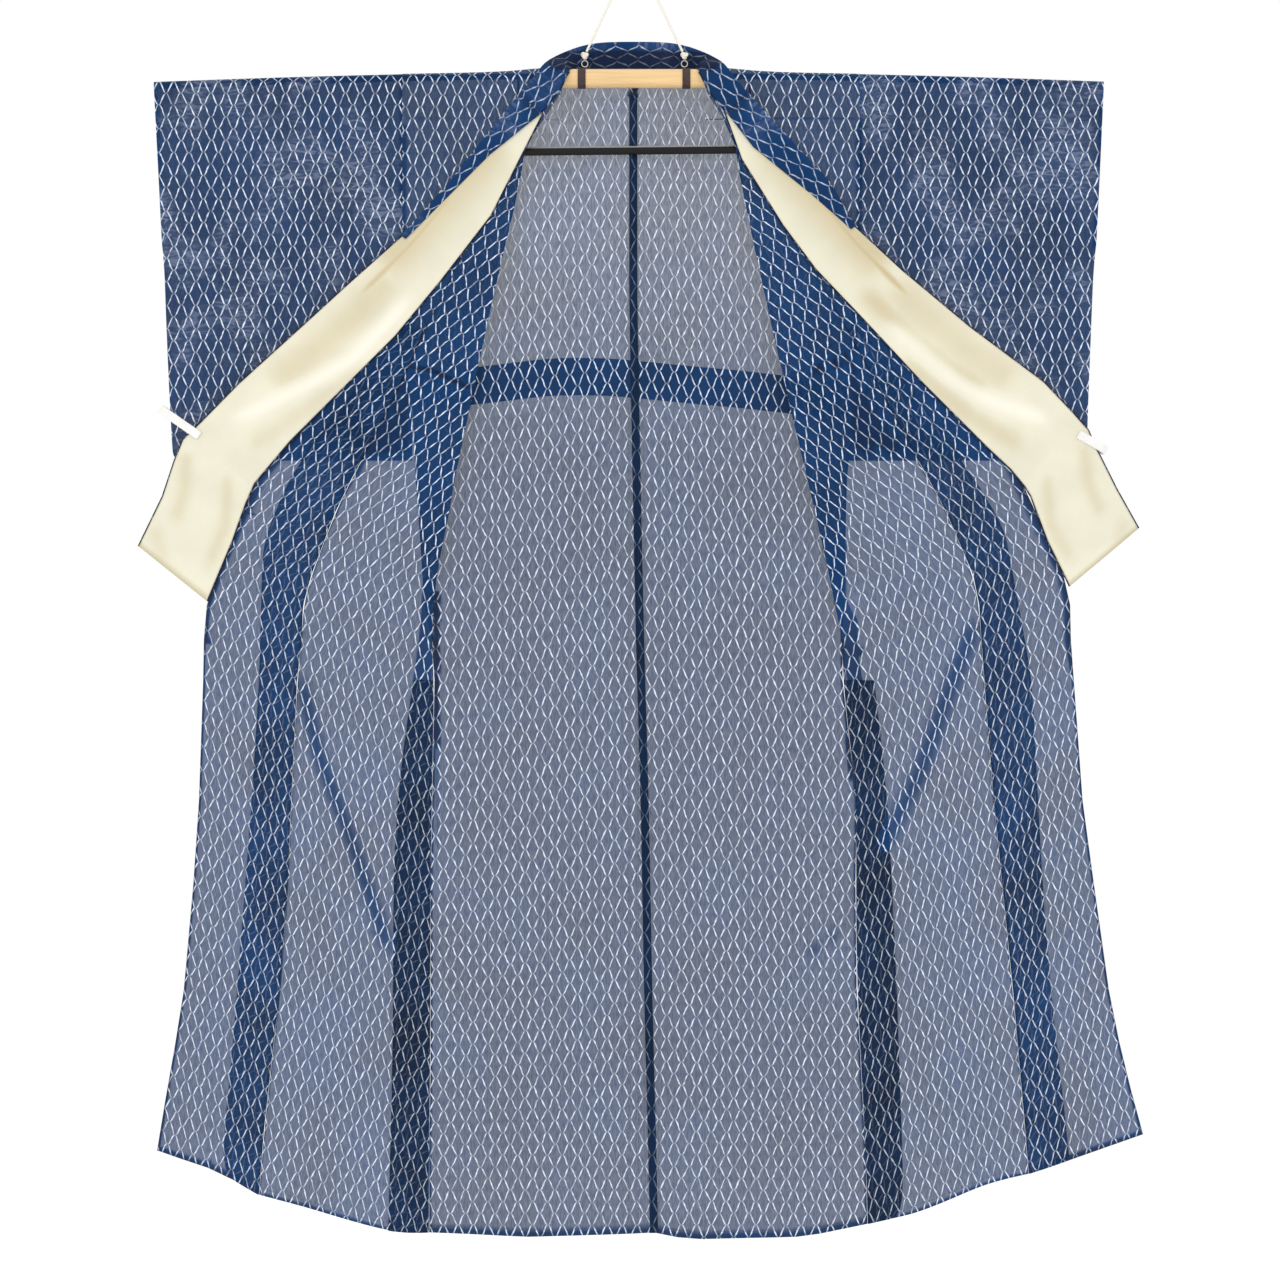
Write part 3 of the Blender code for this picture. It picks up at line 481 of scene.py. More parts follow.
def cut_sheet(node, curved):
    """One side of a cloth solid as an open mesh of quads: the outer side, or the one towards the viewer."""
    shape = bmesh.new()
    shape.from_mesh(frame["nodes"][node].data)
    bmesh.ops.remove_doubles(shape, verts=shape.verts, dist=WELD * MM)
    if curved:
        rims = [face for face in shape.faces
                if min(edge.calc_length() for edge in face.edges) < RIM_WIDTH * MM]
    else:
        rims = [face for face in shape.faces if abs(face.normal.y) < 0.5]
    bmesh.ops.delete(shape, geom=rims, context="FACES")

    def worth(face):
        return face.calc_area() if curved else face.normal.y < 0

    kept = set(max(connected_parts(shape), key=lambda part: sum(worth(face) for face in part)))
    bmesh.ops.delete(shape, geom=[face for face in shape.faces if face not in kept], context="FACES")
    bmesh.ops.join_triangles(shape, faces=shape.faces, angle_face_threshold=math.radians(45),
                             angle_shape_threshold=math.pi)
    mesh = bpy.data.meshes.new(node + "_sheet")
    shape.to_mesh(mesh)
    shape.free()
    return mesh


def border_of(mesh):
    """Which points of an open sheet lie on its edge, and the point pairs of all its edges."""
    count = np.bincount(read_all(mesh.loops, "edge_index"), minlength=len(mesh.edges))
    pairs = read_all(mesh.edges, "vertices", 2)
    border = np.zeros(len(mesh.vertices), dtype=bool)
    border[pairs[count == 1]] = True
    return border, pairs


def grow_border(points, border, pairs, kept, amount):
    """Move the edge of a sheet outwards in its own plane, but for the points that are kept."""
    outward = np.zeros(points.shape)
    for edge_end, inner_end in (pairs.T, pairs.T[::-1]):
        crossing = border[edge_end] & ~border[inner_end]
        np.add.at(outward, edge_end[crossing], points[edge_end[crossing]] - points[inner_end[crossing]])
    size = np.linalg.norm(outward, axis=1)
    moved = (size > 0) & ~kept
    points[moved] += amount * outward[moved] / size[moved][:, None]


def edge_distance(points, border):
    """How far each point lies from the nearest point of the sheet's edge."""
    if not border.any():
        return np.full(len(points), np.inf)
    tree = kdtree.KDTree(int(border.sum()))
    for point in points[border]:
        tree.insert(point, 0)
    tree.balance()
    return np.array([tree.find(point)[2] for point in points])


def follow(line, places):
    """Distance of places from a bent line, how far along it the nearest point lies, and its length."""
    line = np.array(line, dtype=float)
    best = np.full(len(places), np.inf)
    along = np.zeros(len(places))
    before = 0
    for start, step in zip(line, np.diff(line, axis=0)):
        length_here = np.linalg.norm(step)
        part = np.clip((places - start) @ step / length_here ** 2, 0, 1)
        gap = np.linalg.norm(places - start - part[:, None] * step, axis=1)
        nearer = gap < best
        best[nearer] = gap[nearer]
        along[nearer] = before + part[nearer] * length_here
        before += length_here
    return best, along, before


def folds(table, places):
    """Relief, density and painted highlight of soft folds: a line, width, height and density, or a painted
    highlight below 0.
    """
    lift = np.zeros(len(places))
    density_and_painted_light = np.zeros(len(places))
    painted_highlight = np.zeros(len(places))
    for line, width, height, density in table:
        gap, along, total = follow(line, places)
        end_gap = np.minimum(along, total - along) / total
        body = np.exp(-(gap / width) ** 2) * smooth(end_gap / FOLD_FADE + FOLD_FADE)
        lift += height * body
        density_and_painted_light = np.maximum(density_and_painted_light, density * body)
        painted_highlight = np.maximum(painted_highlight, -density * body)
    return lift, density_and_painted_light, painted_highlight


def doubled(table, places):
    """Density of bands where the cloth lies double: a line, half its width at both ends, density."""
    density_and_painted_light = np.zeros(len(places))
    for line, first, last, density in table:
        gap, along, total = follow(line, places)
        half_width = first + (last - first) * along / total
        density_and_painted_light = np.maximum(density_and_painted_light, density * smooth((half_width - gap) / BAND_SOFTNESS + 0.5))
    return density_and_painted_light


def wedge(top, foot, far, strips, density):
    """Upright bands that fill a three-cornered patch: its top, the foot below it and its far corner."""
    step = (far[0] - foot[0]) / strips
    half = abs(step) / 2
    rows = []
    for index in range(strips):
        part = (index + 0.5) / strips
        x = foot[0] + step * (index + 0.5)
        above = top[1] + (far[1] - top[1]) * part - half
        below = foot[1] + (far[1] - foot[1]) * part + half
        rows.append((((x, max(above, below + 1)), (x, below)), half, half, density))
    return rows


# The seams of the front overlaps, from which the grain of the opened fronts is counted: z, x
OVERLAP_SEAM = {
    -1: ((-293, -145), (-434, -226), (-632, -320), (-783, -399), (-867, -431), (-1008, -450), (-1249, -461),
         (-1517, -485), (-1760, -507)),
    1: ((-293, 135), (-434, 226), (-632, 335), (-783, 417), (-867, 453), (-1008, 468), (-1249, 489),
        (-1517, 515), (-1760, 535)),
}

# Upper edge of the opened collar, from the neck outwards: x, z
COLLAR_EDGE = {
    -1: ((-153, -224), (-247, -343), (-311, -414), (-442, -532), (-529, -611), (-603, -685), (-631, -762),
         (-663, -828), (-700, -914)),
    1: ((153, -224), (261, -342), (360, -460), (450, -535), (548, -608), (608, -673), (646, -752),
        (675, -804), (712, -890)),
}
# Top fold of the collar from the middle of the neck round to its opened end: x, y, z
NECK_FOLD = ((0, 17.6, -150), (64, 17.4, -153.5), (84, 16.5, -160), (100, 12, -168), (112, 1, -177),
             (120, -7, -183.5), (127, -13.5, -193), (139, -15, -209), (153, -13.6, -224))

# Soft folds: x and z along the fold, then width, height and how much denser the cloth looks
FLAP_FOLDS = {
    -1: ((((-452, -975), (-421, -1108), (-379, -1219), (-336, -1347), (-318, -1400)), 16, 3.4, 0.95),
         (((-341, -569), (-299, -588), (-272, -593), (-209, -622)), 6, 1.6, 2),
         (((-300, -1420), (-318, -1560), (-312, -1700)), 24, 0.9, 0.14),
         (((-392, -1150), (-402, -1330), (-425, -1520)), 28, -1.6, 0)),
    1: ((((466, -905), (448, -951), (409, -1055), (383, -1131), (339, -1221), (322, -1262)), 20, 3.6, 0.95),
        (((217, -603), (286, -574), (333, -554)), 6, 1.6, 2),
        (((246, -606), (276, -588), (306, -580)), 8, 0, 1.5),
        (((272, -958), (290, -966), (308, -972)), 9, 3, 1.5),
        (((350, -1400), (372, -1560), (380, -1700)), 24, 0.9, 0.14),
        (((420, -1150), (430, -1330), (452, -1520)), 28, -1.6, 0)),
}
OVERLAP_FOLDS = {
    -1: ((((-520, -960), (-540, -1200), (-566, -1480)), 22, 1.6, 0.10),
         (((-495, -820), (-520, -900), (-535, -1010)), 12, 1.4, 0.12)),
    1: ((((532, -960), (556, -1200), (590, -1480)), 22, 1.6, 0.10),
        (((505, -820), (530, -900), (545, -1010)), 12, 1.4, 0.12)),
}
BACK_FOLDS = (
    (((285, -1336), (248, -1366), (210, -1388)), 8, 2, 0.8),
    (((-120, -1100), (-95, -1300), (-105, -1560)), 30, 2, 0.05),
    (((140, -1150), (160, -1350), (150, -1600)), 30, 2, 0.05),
    (((-230, -300), (-150, -330), (-40, -318)), 12, 0.8, 0.06),
    (((230, -290), (140, -326), (40, -312)), 12, 0.8, 0.06),
)

# Cloth that lies double, and painted shade drawn the same way: x and z along the band, half its width at its
# two ends, and its density
# Painted shadow: the lower part of the collar's back, which stands in shade above the bar, drawn as cloth
# pressed nearly black
NECK_SHADE = ((((-100, -180), (-60, -176), (60, -176), (100, -180)), 15, 15, 1.85),)
BACK_DOUBLES_AND_SHADOWS = (
    (((-1, -200), (-1, -222)), 5.5, 5.5, 1.9),
    # Painted shadow, with the thickness of the turned seam: a dark line on the back just inside the left
    # side seam, fading out below
    (((-265, -892), (-265, -1090)), 4, 4, 1.85),
    (((-265, -1090), (-264, -1230)), 4, 2, 0.7),
    (((283, -965), (283, -1008), (288, -1090), (292, -1140)), 4.2, 2.6, 1.85),
)
FLAP_DOUBLES = {
    -1: ((((-277, -880), (-279, -954), (-284, -1010)), 6, 13, 1),
         (((-271, -892), (-271, -900)), 2.4, 2.4, 1.8),
         *wedge((-297, -590), (-299, -709), (-358, -709), 5, 1.5)),
    1: ((((271, -830), (273, -900), (288, -930)), 14, 10, 1),
        (((288, -930), (290, -975), (297, -1010)), 12, 10, 1.15),
        (((281, -955), (281, -1180)), 2.4, 2.4, 1.8),
        *wedge((286, -578), (287, -703), (373, -712), 6, 1.5)),
}
SLEEVE_FOLDS = (
    (((330, -250), (420, -300), (520, -330)), 14, 0.8, 0.10),
    (((360, -420), (440, -470), (560, -500)), 18, 0.8, 0.08),
    (((340, -560), (380, -620), (400, -690)), 14, 0.8, 0.10),
    (((560, -300), (570, -420), (560, -560)), 16, 0.7, 0.08),
)
# The lining's folds: relief, painted shade where the density is above 0 and a painted highlight along the
# ridge where it is below 0
LINING_FOLDS_WITH_PAINTED_LIGHT = {
    -1: ((((-316, -460), (-372, -520), (-436, -575), (-490, -616)), 24, 0.4, 0.42),
         (((-292, -490), (-328, -530), (-376, -579), (-433, -612), (-494, -643), (-545, -664)),
          10, 3.2, -0.85),
         (((-350, -580), (-450, -655), (-520, -700)), 13, 0.4, 0.24),
         (((-175, -275), (-260, -372), (-345, -465)), 32, 1.6, 0.58),
         (((-236, -352), (-300, -428), (-370, -498)), 5, 0.3, 0.75),
         (((-598, -700), (-600, -752), (-614, -800)), 10, 2.2, 0.32),
         (((-543, -730), (-545, -800), (-570, -860)), 9, 2, 0.30),
         (((-640, -800), (-630, -850), (-615, -890)), 9, 0.4, 0.22)),
    1: ((((300, -480), (330, -512), (374, -556), (424, -594), (480, -626)), 15, 0.4, 0.60),
        (((338, -472), (398, -528), (455, -575), (515, -616)), 28, 0.4, 0.38),
        (((330, -525), (386, -572), (432, -610), (478, -636), (527, -652), (562, -664)), 11, 3.2, -0.9),
        (((355, -575), (450, -655), (525, -700)), 14, 0.4, 0.40),
        (((168, -268), (260, -372), (345, -465)), 34, 1.6, 0.66),
        (((236, -352), (300, -428), (370, -498)), 5, 0.3, 0.85),
        (((600, -690), (606, -745), (626, -790)), 10, 2.2, 0.32),
        (((550, -730), (556, -800), (585, -850)), 9, 2, 0.30),
        (((655, -790), (645, -840), (630, -880)), 9, 0.4, 0.22)),
}


def upright(x, y, z):
    """Grain of the back, whose weft falls a little from the centre seam to the sides."""
    return x, -z - BACK_SAG * smooth(1.4 - np.abs(z - SAG_MIDDLE) / SAG_REACH) * np.abs(x)


def over_top(node, gap, lean=0):
    """Grain of one uncut length that goes up at the back, over a bar or rod and down the front."""
    low, high = (np.array(corner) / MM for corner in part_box(node))
    _, middle_y, middle_z = (low + high) / 2
    radius = (high[2] - low[2]) / 2 + gap

    def grain(x, y, z):
        turn = np.arctan2(y - middle_y, np.maximum(z - middle_z, 0))
        beyond = np.maximum(middle_z - z, 0) * np.sign(y - middle_y)
        return x + lean * np.maximum(beyond, 0), -middle_z - radius * (math.pi / 2 - turn) + beyond

    return grain


def opened(side):
    """Grain of an opened front, whose weft falls towards the side seam."""
    heights, places = zip(*sorted(OVERLAP_SEAM[side]))

    def grain(x, y, z):
        spread = 0.9 + 0.23 * smooth((-z - 500) / 700)
        return (x - np.interp(z, heights, places)) * spread, -z + side * x * WEFT_TILT

    return grain


def round_neck(x, y, z):
    """Grain of the collar behind and beside the neck: counted along its top fold."""
    gap, along, _ = follow(NECK_FOLD, np.column_stack([np.abs(x), y, z]))
    return gap, along * np.sign(x + 0.01)


def along_collar(side):
    """Grain of an opened collar: counted along its upper edge and across from it."""
    return lambda x, y, z: follow(COLLAR_EDGE[side], np.column_stack([x, z]))[:2]


def dress(name, node, grain, material, table=(), doubles=(), levels=3, curved=False, kind="CATMULL_CLARK",
          wall=0, billow=0, edge_band=2.6, edge_density=1.4, uncut_above=math.inf, heavy=0,
          overlap=SEAM_OVERLAP, settle=None, least=0):
    """A fine sheet on the form of its solid, with its folds, its grain and its denser edges.

    The cloth looks denser lower down, by the share heavy. Above the
    height uncut_above the real cloth runs on: such an edge isn't denser, and it meets its neighbour's.
    """
    item = link_mesh(name, cut_sheet(node, curved), material)
    reshape(item, "SUBSURF", subdivision_type=kind, levels=levels, render_levels=levels,
            boundary_smooth="PRESERVE_CORNERS")
    mesh = item.data
    points = read_all(mesh.vertices, "co", 3, float) / MM
    border, pairs = border_of(mesh)
    real_edge = border & (points[:, 2] < uncut_above)
    edge = edge_distance(points, real_edge)
    free = smooth(edge_distance(points, border) / EDGE_REST)
    if settle:
        settle(points, 1 - free)
    x, y, z = points.T.copy()
    places = points[:, [0, 2]]
    lift, density_and_painted_light, painted_highlight = folds(table, places)
    density_and_painted_light = np.maximum(density_and_painted_light, doubled(doubles, places))
    if billow:
        waves = np.sin(x / 33 + z / 240) * np.sin(z / 130 + x / 90 + 0.7)
        lift += billow * smooth(edge / BILLOW_REST) * waves
    points[:, 1] -= lift * free
    density_and_painted_light = np.maximum(density_and_painted_light, edge_density * (1 - smooth(edge / edge_band)))
    density_and_painted_light = np.maximum(density_and_painted_light, least + heavy * smooth((HEAVY_BELOW - z) / HEAVY_RISE))
    grow_border(points, border, pairs, real_edge, overlap)
    mesh.vertices.foreach_set("co", (points * MM).ravel())
    corners = read_all(mesh.loops, "vertex_index")
    layer = mesh.uv_layers.new(name=GRAIN)
    layer.data.foreach_set("uv", np.column_stack(grain(x, y, z))[corners].ravel() * MM)
    tone = mesh.attributes.new(DENSITY_AND_PAINTED_LIGHT, "FLOAT", "POINT")
    tone.data.foreach_set("value", density_and_painted_light - painted_highlight)
    mesh.shade_smooth()
    if wall:
        reshape(item, "SOLIDIFY", thickness=wall, offset=-1)
    mesh.update()
    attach(item, BODY)
    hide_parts(node)
    return item


class KIMONO_OT_camera(bpy.types.Operator):
    """Place the camera straight in front of the garment."""

    bl_idname = "kimono.camera"
    bl_label = "Camera"

    def execute(self, context):
        data = bpy.data.cameras.new("camera")
        data.lens = 100
        data.sensor_fit = "HORIZONTAL"
        spot = (CAMERA_X, -context.scene.kimono_studio.distance, CAMERA_Z)
        context.scene.camera = place_object("camera", data, spot, (math.pi / 2, 0, 0))
        return {"FINISHED"}


def middle_of(node):
    """Middle of a solid's box, and half its width."""
    low, high = (Vector(corner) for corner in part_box(node))
    return (low + high) / 2, (high[0] - low[0]) / 2


def cord_curve(name, places, radius, resolution, material, closed=False):
    """A round cord that runs through the places given."""
    curve = bpy.data.curves.new(name, "CURVE")
    curve.dimensions = "3D"
    curve.bevel_depth = radius
    curve.bevel_resolution = resolution
    curve.use_fill_caps = not closed
    curve.materials.append(material)
    line = curve.splines.new("POLY")
    line.points.add(len(places) - 1)
    line.use_cyclic_u = closed
    for point, place in zip(line.points, places):
        point.co = (*place, 1)
    return place_object(name, curve)


class KIMONO_OT_cords(bpy.types.Operator):
    """Make the two taut cords from the bar's knots to the top knot."""

    bl_idname = "kimono.cords"
    bl_label = "Cords"

    def execute(self, context):
        hanger = context.scene.kimono_hanger
        material = solid_finish("braided cotton cord", hanger.cord, 0.8, (900, 900, 500), 0.12)
        top, top_reach = middle_of("top_knot")
        for _, word in SIDES:
            knot, reach = middle_of("knot_" + word)
            way = (top - knot).normalized()
            start = knot + way * (reach + KNOT_GAP * MM)
            end = top - way * (top_reach + KNOT_GAP * MM)
            places = [start.lerp(end, part) for part in np.linspace(0, 1, CORD_POINTS)]
            item = cord_curve("hanging_cord_" + word, places, hanger.cord_diameter / 2, 4, material)
            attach(item, BODY)
            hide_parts("cord_" + word)
        return {"FINISHED"}


def cord_knot(name, node, material):
    """A cotton cord's overhand knot, drawn up tight, as large as its solid."""
    middle, reach = middle_of(node)
    places = []
    for turn in np.linspace(0, 2 * math.pi, KNOT_POINTS, endpoint=False):
        swing = Vector((math.sin(turn) + 2 * math.sin(2 * turn), -1.5 * math.sin(3 * turn),
                        math.cos(turn) - 2 * math.cos(2 * turn)))
        places.append(middle + swing * reach * (1 - KNOT_CORD) / 3)
    item = cord_curve(name, places, reach * KNOT_CORD, 3, material, closed=True)
    activate(item)
    bpy.ops.object.convert(target="MESH")
    bpy.ops.object.shade_smooth()
    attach(item, BODY)
    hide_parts(node)


class KIMONO_OT_backs(bpy.types.Operator):
    """Dress the two back panels, the waist tuck and the bound centre seam."""

    bl_idname = "kimono.backs"
    bl_label = "Back"

    def execute(self, context):
        cloth = context.scene.kimono_cloth
        silk = gauze("indigo silk gauze, stencil dyed", cloth.cover)
        folded = gauze("indigo silk gauze, folded", 0.97, shade=0.95)
        binding = gauze("indigo silk seam, folded and pressed", 0.99, 0.16, 0.45)
        over_bar = over_top("bar", SHOULDER_GAP)
        for side, word in SIDES:
            back = dress("back_panel_" + word, "back_" + word, upright, silk, BACK_FOLDS, BACK_DOUBLES_AND_SHADOWS,
                         kind="SIMPLE", billow=0.9, uncut_above=SHOULDER_END, heavy=LOWER_SHARE,
                         overlap=BACK_OVERLAP[side])
            shoulder = dress("shoulder_cloth_" + word, "shoulder_" + word, over_bar, silk, kind="SIMPLE",
                             curved=True, uncut_above=-math.inf)
            tuck = dress("waist_tuck_" + word, "tuck_" + word, upright, folded, edge_band=2)
        seam = dress("centre_seam", "back_binding", upright, binding, edge_band=2)
        return {"FINISHED"}


class KIMONO_OT_sleeves(bpy.types.Operator):
    """Dress the two sleeve bags that hang over the rods."""

    bl_idname = "kimono.sleeves"
    bl_label = "Sleeves"

    def execute(self, context):
        cloth = context.scene.kimono_cloth
        silk = gauze("indigo silk gauze, sleeve", cloth.sleeve_cover, haze=0.5)
        for side, word in SIDES:
            table = [(np.array(line) * (side, 1), *sizes) for line, *sizes in SLEEVE_FOLDS]
            over_rod = over_top("rod_" + word, SHOULDER_GAP, side * FAR_LEAN)
            bag = dress("sleeve_bag_" + word, "sleeve_" + word, over_rod, silk, table, curved=True,
                        edge_band=3, edge_density=1.2)
        return {"FINISHED"}


class KIMONO_OT_fronts(bpy.types.Operator):
    """Dress the fronts: the straight parts, the turned-out flaps, the overlaps and their strips."""

    bl_idname = "kimono.fronts"
    bl_label = "Fronts"

    def execute(self, context):
        cloth = context.scene.kimono_cloth
        silk = gauze("indigo silk gauze, front", cloth.cover, shade=1.2)
        folded = {"side": gauze("indigo silk gauze, side seam strip", 0.97, 0.6, 0.5, under=0.1),
                  "okumi": gauze("indigo silk gauze, overlap seam strip", 0.93, 0.8, 0.95, under=0.1)}
        over_bar = over_top("bar", SHOULDER_GAP)
        for side, word in SIDES:
            grain = opened(side)
            straight = dress("front_panel_" + word, "front_" + word, over_bar, silk, kind="SIMPLE",
                             uncut_above=SHOULDER_END)
            flap = dress("opened_front_" + word, "flap_" + word, grain, silk, FLAP_FOLDS[side],
                         FLAP_DOUBLES[side], levels=4, billow=0.8, heavy=LOWER_SHARE)
            overlap = dress("overlap_" + word, "okumi_" + word, grain, silk, OVERLAP_FOLDS[side],
                            kind="SIMPLE", billow=0.6, edge_band=3.2, edge_density=1.9,
                            heavy=LOWER_SHARE)
            for kind, wide, long in (("side", 0.055, 0.76), ("okumi", 0.06, 1.24)):
                strip = dress(kind + "_strip_" + word, kind + "_allowance_" + word, grain, folded[kind])
        return {"FINISHED"}


def settle_behind_bar(points, near_edge):
    """The collar's lower edge drops behind the bar's two ends."""
    off = np.hypot(np.abs(points[:, 0]) - BAR_END[0], points[:, 2] - BAR_END[1])
    points[:, 2] -= COLLAR_DROP * smooth(1 - off / BAR_END_REACH) * near_edge


class KIMONO_OT_collar(bpy.types.Operator):
    """Dress the folded collar, its opened ends and their cream silk lining."""

    bl_idname = "kimono.collar"
    bl_label = "Collar"

    def execute(self, context):
        cloth = context.scene.kimono_cloth
        folded = gauze("indigo silk gauze, collar", cloth.folded_cover, 0.72, 1.4, haze=0.32)
        cream = plain_silk("plain cream silk, calendered")
        # The collar's back gets a raised least density and the neck band: both are painted shade, where it
        # stands in shade above the bar
        neck = dress("collar_neck", "collar_back", round_neck, folded, (), NECK_SHADE, levels=2,
                     curved=True, settle=settle_behind_bar, least=1.15)
        for side, word in SIDES:
            grain = along_collar(side)
            band = dress("collar_band_" + word, "collar_" + word, grain, folded, kind="SIMPLE",
                         edge_band=5, edge_density=2)
            turn = dress("collar_fold_" + word, "collar_turn_" + word, grain, folded, kind="SIMPLE",
                         least=1.15)
            # The lining's folds paint crease shade and ridge highlights into the cream; its edges darken
            # with the same crease shade
            lining = dress("collar_lining_" + word, "lining_" + word, grain, cream, LINING_FOLDS_WITH_PAINTED_LIGHT[side],
                           kind="SIMPLE", wall=0.0004, edge_band=2, edge_density=0.6)
        return {"FINISHED"}


def cloth_surface():
    """All gauze sheets together, to find the cloth nearest to the viewer."""
    points = []
    faces = []
    for item in bpy.context.scene.objects:
        sheet = item.type == "MESH" and DENSITY_AND_PAINTED_LIGHT in item.data.attributes
        if sheet and not item.name.startswith("collar_lining"):
            first = len(points)
            points.extend(item.matrix_world @ vertex.co for vertex in item.data.vertices)
            faces.extend([first + index for index in face.vertices] for face in item.data.polygons)
    return bvhtree.BVHTree.FromPolygons(points, faces)


def nearest_cloth(surface, x, z):
    """The point of the cloth that the viewer sees at x, z in millimetres, or None beside it."""
    return surface.ray_cast(Vector((x, IN_FRONT, z)) * MM, AWAY)[0]


def edge_row(surface, starts, step, reach):
    """Points a hem's depth inside the edge of the cloth, which is looked for from each start."""
    row = []
    step = np.array(step)
    for start in np.array(starts):
        for number in range(reach):
            if nearest_cloth(surface, *(start + step * number)):
                row.append(start + step * (number + HEM_DEPTH))
                break
    return row


def sew(name, surface, rows, material):
    """Running stitches along rows of x, z points, laid on the cloth as one mesh."""
    points = []
    faces = []
    turns = [2 * math.pi * number / THREAD_SIDES for number in range(THREAD_SIDES)]
    for row in rows:
        line = np.array(row, dtype=float)
        reach = np.concatenate([[0], np.cumsum(np.linalg.norm(np.diff(line, axis=0), axis=1))])
        for begin in np.arange(STITCH_PITCH, reach[-1] - STITCH_PITCH, STITCH_PITCH):
            found = []
            for place in (begin, begin + STITCH_LENGTH / 2, begin + STITCH_LENGTH):
                x, z = (np.interp(place, reach, column) for column in line.T)
                found.append(nearest_cloth(surface, x, z))
            if None in found or np.ptp([point.y for point in found]) > STITCH_STEP * MM:
                continue
            along = (found[2] - found[0]).normalized()
            across = along.cross(AWAY).normalized()
            out = across.cross(along)
            first = len(points)
            for point, swell in zip(found, (THREAD_END, 1, THREAD_END)):
                middle = point - AWAY * THREAD_RADIUS * MM * THREAD_LIFT
                radius = THREAD_RADIUS * MM * swell
                points.extend(middle + (across * math.cos(turn) + out * math.sin(turn)) * radius
                              for turn in turns)
            for ring in (first, first + THREAD_SIDES):
                for number in range(THREAD_SIDES):
                    beside = (number + 1) % THREAD_SIDES
                    faces.append((ring + number, ring + beside, ring + THREAD_SIDES + beside,
                                  ring + THREAD_SIDES + number))
            faces.append(tuple(reversed(range(first, first + THREAD_SIDES))))
            faces.append(tuple(range(first + 2 * THREAD_SIDES, first + 3 * THREAD_SIDES)))
    mesh = bpy.data.meshes.new(name)
    mesh.from_pydata(points, [], faces)
    item = link_mesh(name, mesh, material)
    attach(item, BODY)
    return item


class KIMONO_OT_stitches(bpy.types.Operator):
    """Sew the centre seam, the armholes, the overlap seams, the hem and the cuffs."""

    bl_idname = "kimono.stitches"
    bl_label = "Stitches"

    def execute(self, context):
        surface = cloth_surface()
        thread = solid_finish("silk sewing thread, indigo", context.scene.kimono_cloth.seam, 0.6,
                              (900, 900, 900), 0.2)
        sew("stitches_centre_seam", surface,
            [((-8, -210), (-8, -1740)), ((6, -210), (6, -1740))], thread)
        for side, word in SIDES:
            armhole = ((side * 312, -168), (side * 310, -395))
            sew("stitches_armhole_" + word, surface, [armhole], thread)
            seam = [(x + side * 3, z) for z, x in OVERLAP_SEAM[side][2:]]
            sew("stitches_overlap_" + word, surface, [seam], thread)
            cuff = edge_row(surface, [(side * 680, z) for z in range(-160, -480, -6)], (-side, 0), 80)
            sew("stitches_cuff_" + word, surface, [cuff], thread)
        hem = edge_row(surface, [(x, -1775) for x in range(-618, 620, 6)], (0, 1), 260)
        sew("stitches_hem", surface, [hem], thread)
        return {"FINISHED"}


class KIMONO_OT_hanger(bpy.types.Operator):
    """Finish the hanger's wood, rods and fittings."""

    bl_idname = "kimono.hanger"
    bl_label = "Hanger"

    def execute(self, context):
        hanger = context.scene.kimono_hanger
        finishes = {
            "bar": solid_finish("varnished cypress, turned", hanger.wood, 0.38, (14, 260, 260), 0.09,
                                coat=0.4),
            "band": solid_finish("lacquered band, dark brown", hanger.band, 0.42, (120, 120, 120), 0.2),
            "rod": solid_finish("steel tube, dark enamel", hanger.rod, 0.35, (30, 200, 200), 0.15, coat=0.3),
            "link": solid_finish("steel tube, black enamel", hanger.enamel, 0.45, (25, 200, 200), 0.12),
            "eye": solid_finish("nickel plated steel wire", linear("#C9C6BE"), 0.22, (300, 300, 300), 0.06,
                                metallic=1),
            "knot": solid_finish("cotton knot, braided", hanger.cord, 0.85, (700, 700, 700), 0.15,
                                 bump=0.0008),
            "clip": solid_finish("moulded polypropylene, white", hanger.clip, 0.36, (80, 80, 80), 0.03),
        }
        # Painted highlights: a pale line along the tops of the black sash bar and of the wooden bar
        catch_light(finishes["link"], 0.7, linear("#C8C6C2"))
        shader_of(finishes["link"]).inputs["Specular IOR Level"].default_value = 0.25
        catch_light(finishes["bar"], 0.35, linear("#FBE3B8"))
        looks = {"bar": "bar", "sash_bar": "link", "hanging_ring": "eye"}
        for _, word in SIDES:
            looks.update({look + "_" + word: look for look in ("band", "rod", "link", "eye")})
        for node, look in looks.items():
            mesh = frame["nodes"][node].data
            mesh.materials.clear()
            mesh.materials.append(finishes[look])
        for node in ("knot_left", "knot_right", "top_knot"):
            cord_knot("tied_" + node, node, finishes["knot"])
        for _, word in SIDES:
            mesh = frame["nodes"]["clip_" + word].data.copy()
            clip = link_mesh("moulded_clip_" + word, mesh, finishes["clip"])
            reshape(clip, "REMESH", voxel_size=0.0007)
            reshape(clip, "SMOOTH", iterations=12)
            reshape(clip, "DECIMATE", ratio=0.3)
            bpy.ops.object.shade_smooth()
            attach(clip, BODY)
            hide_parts("clip_" + word)
        return {"FINISHED"}


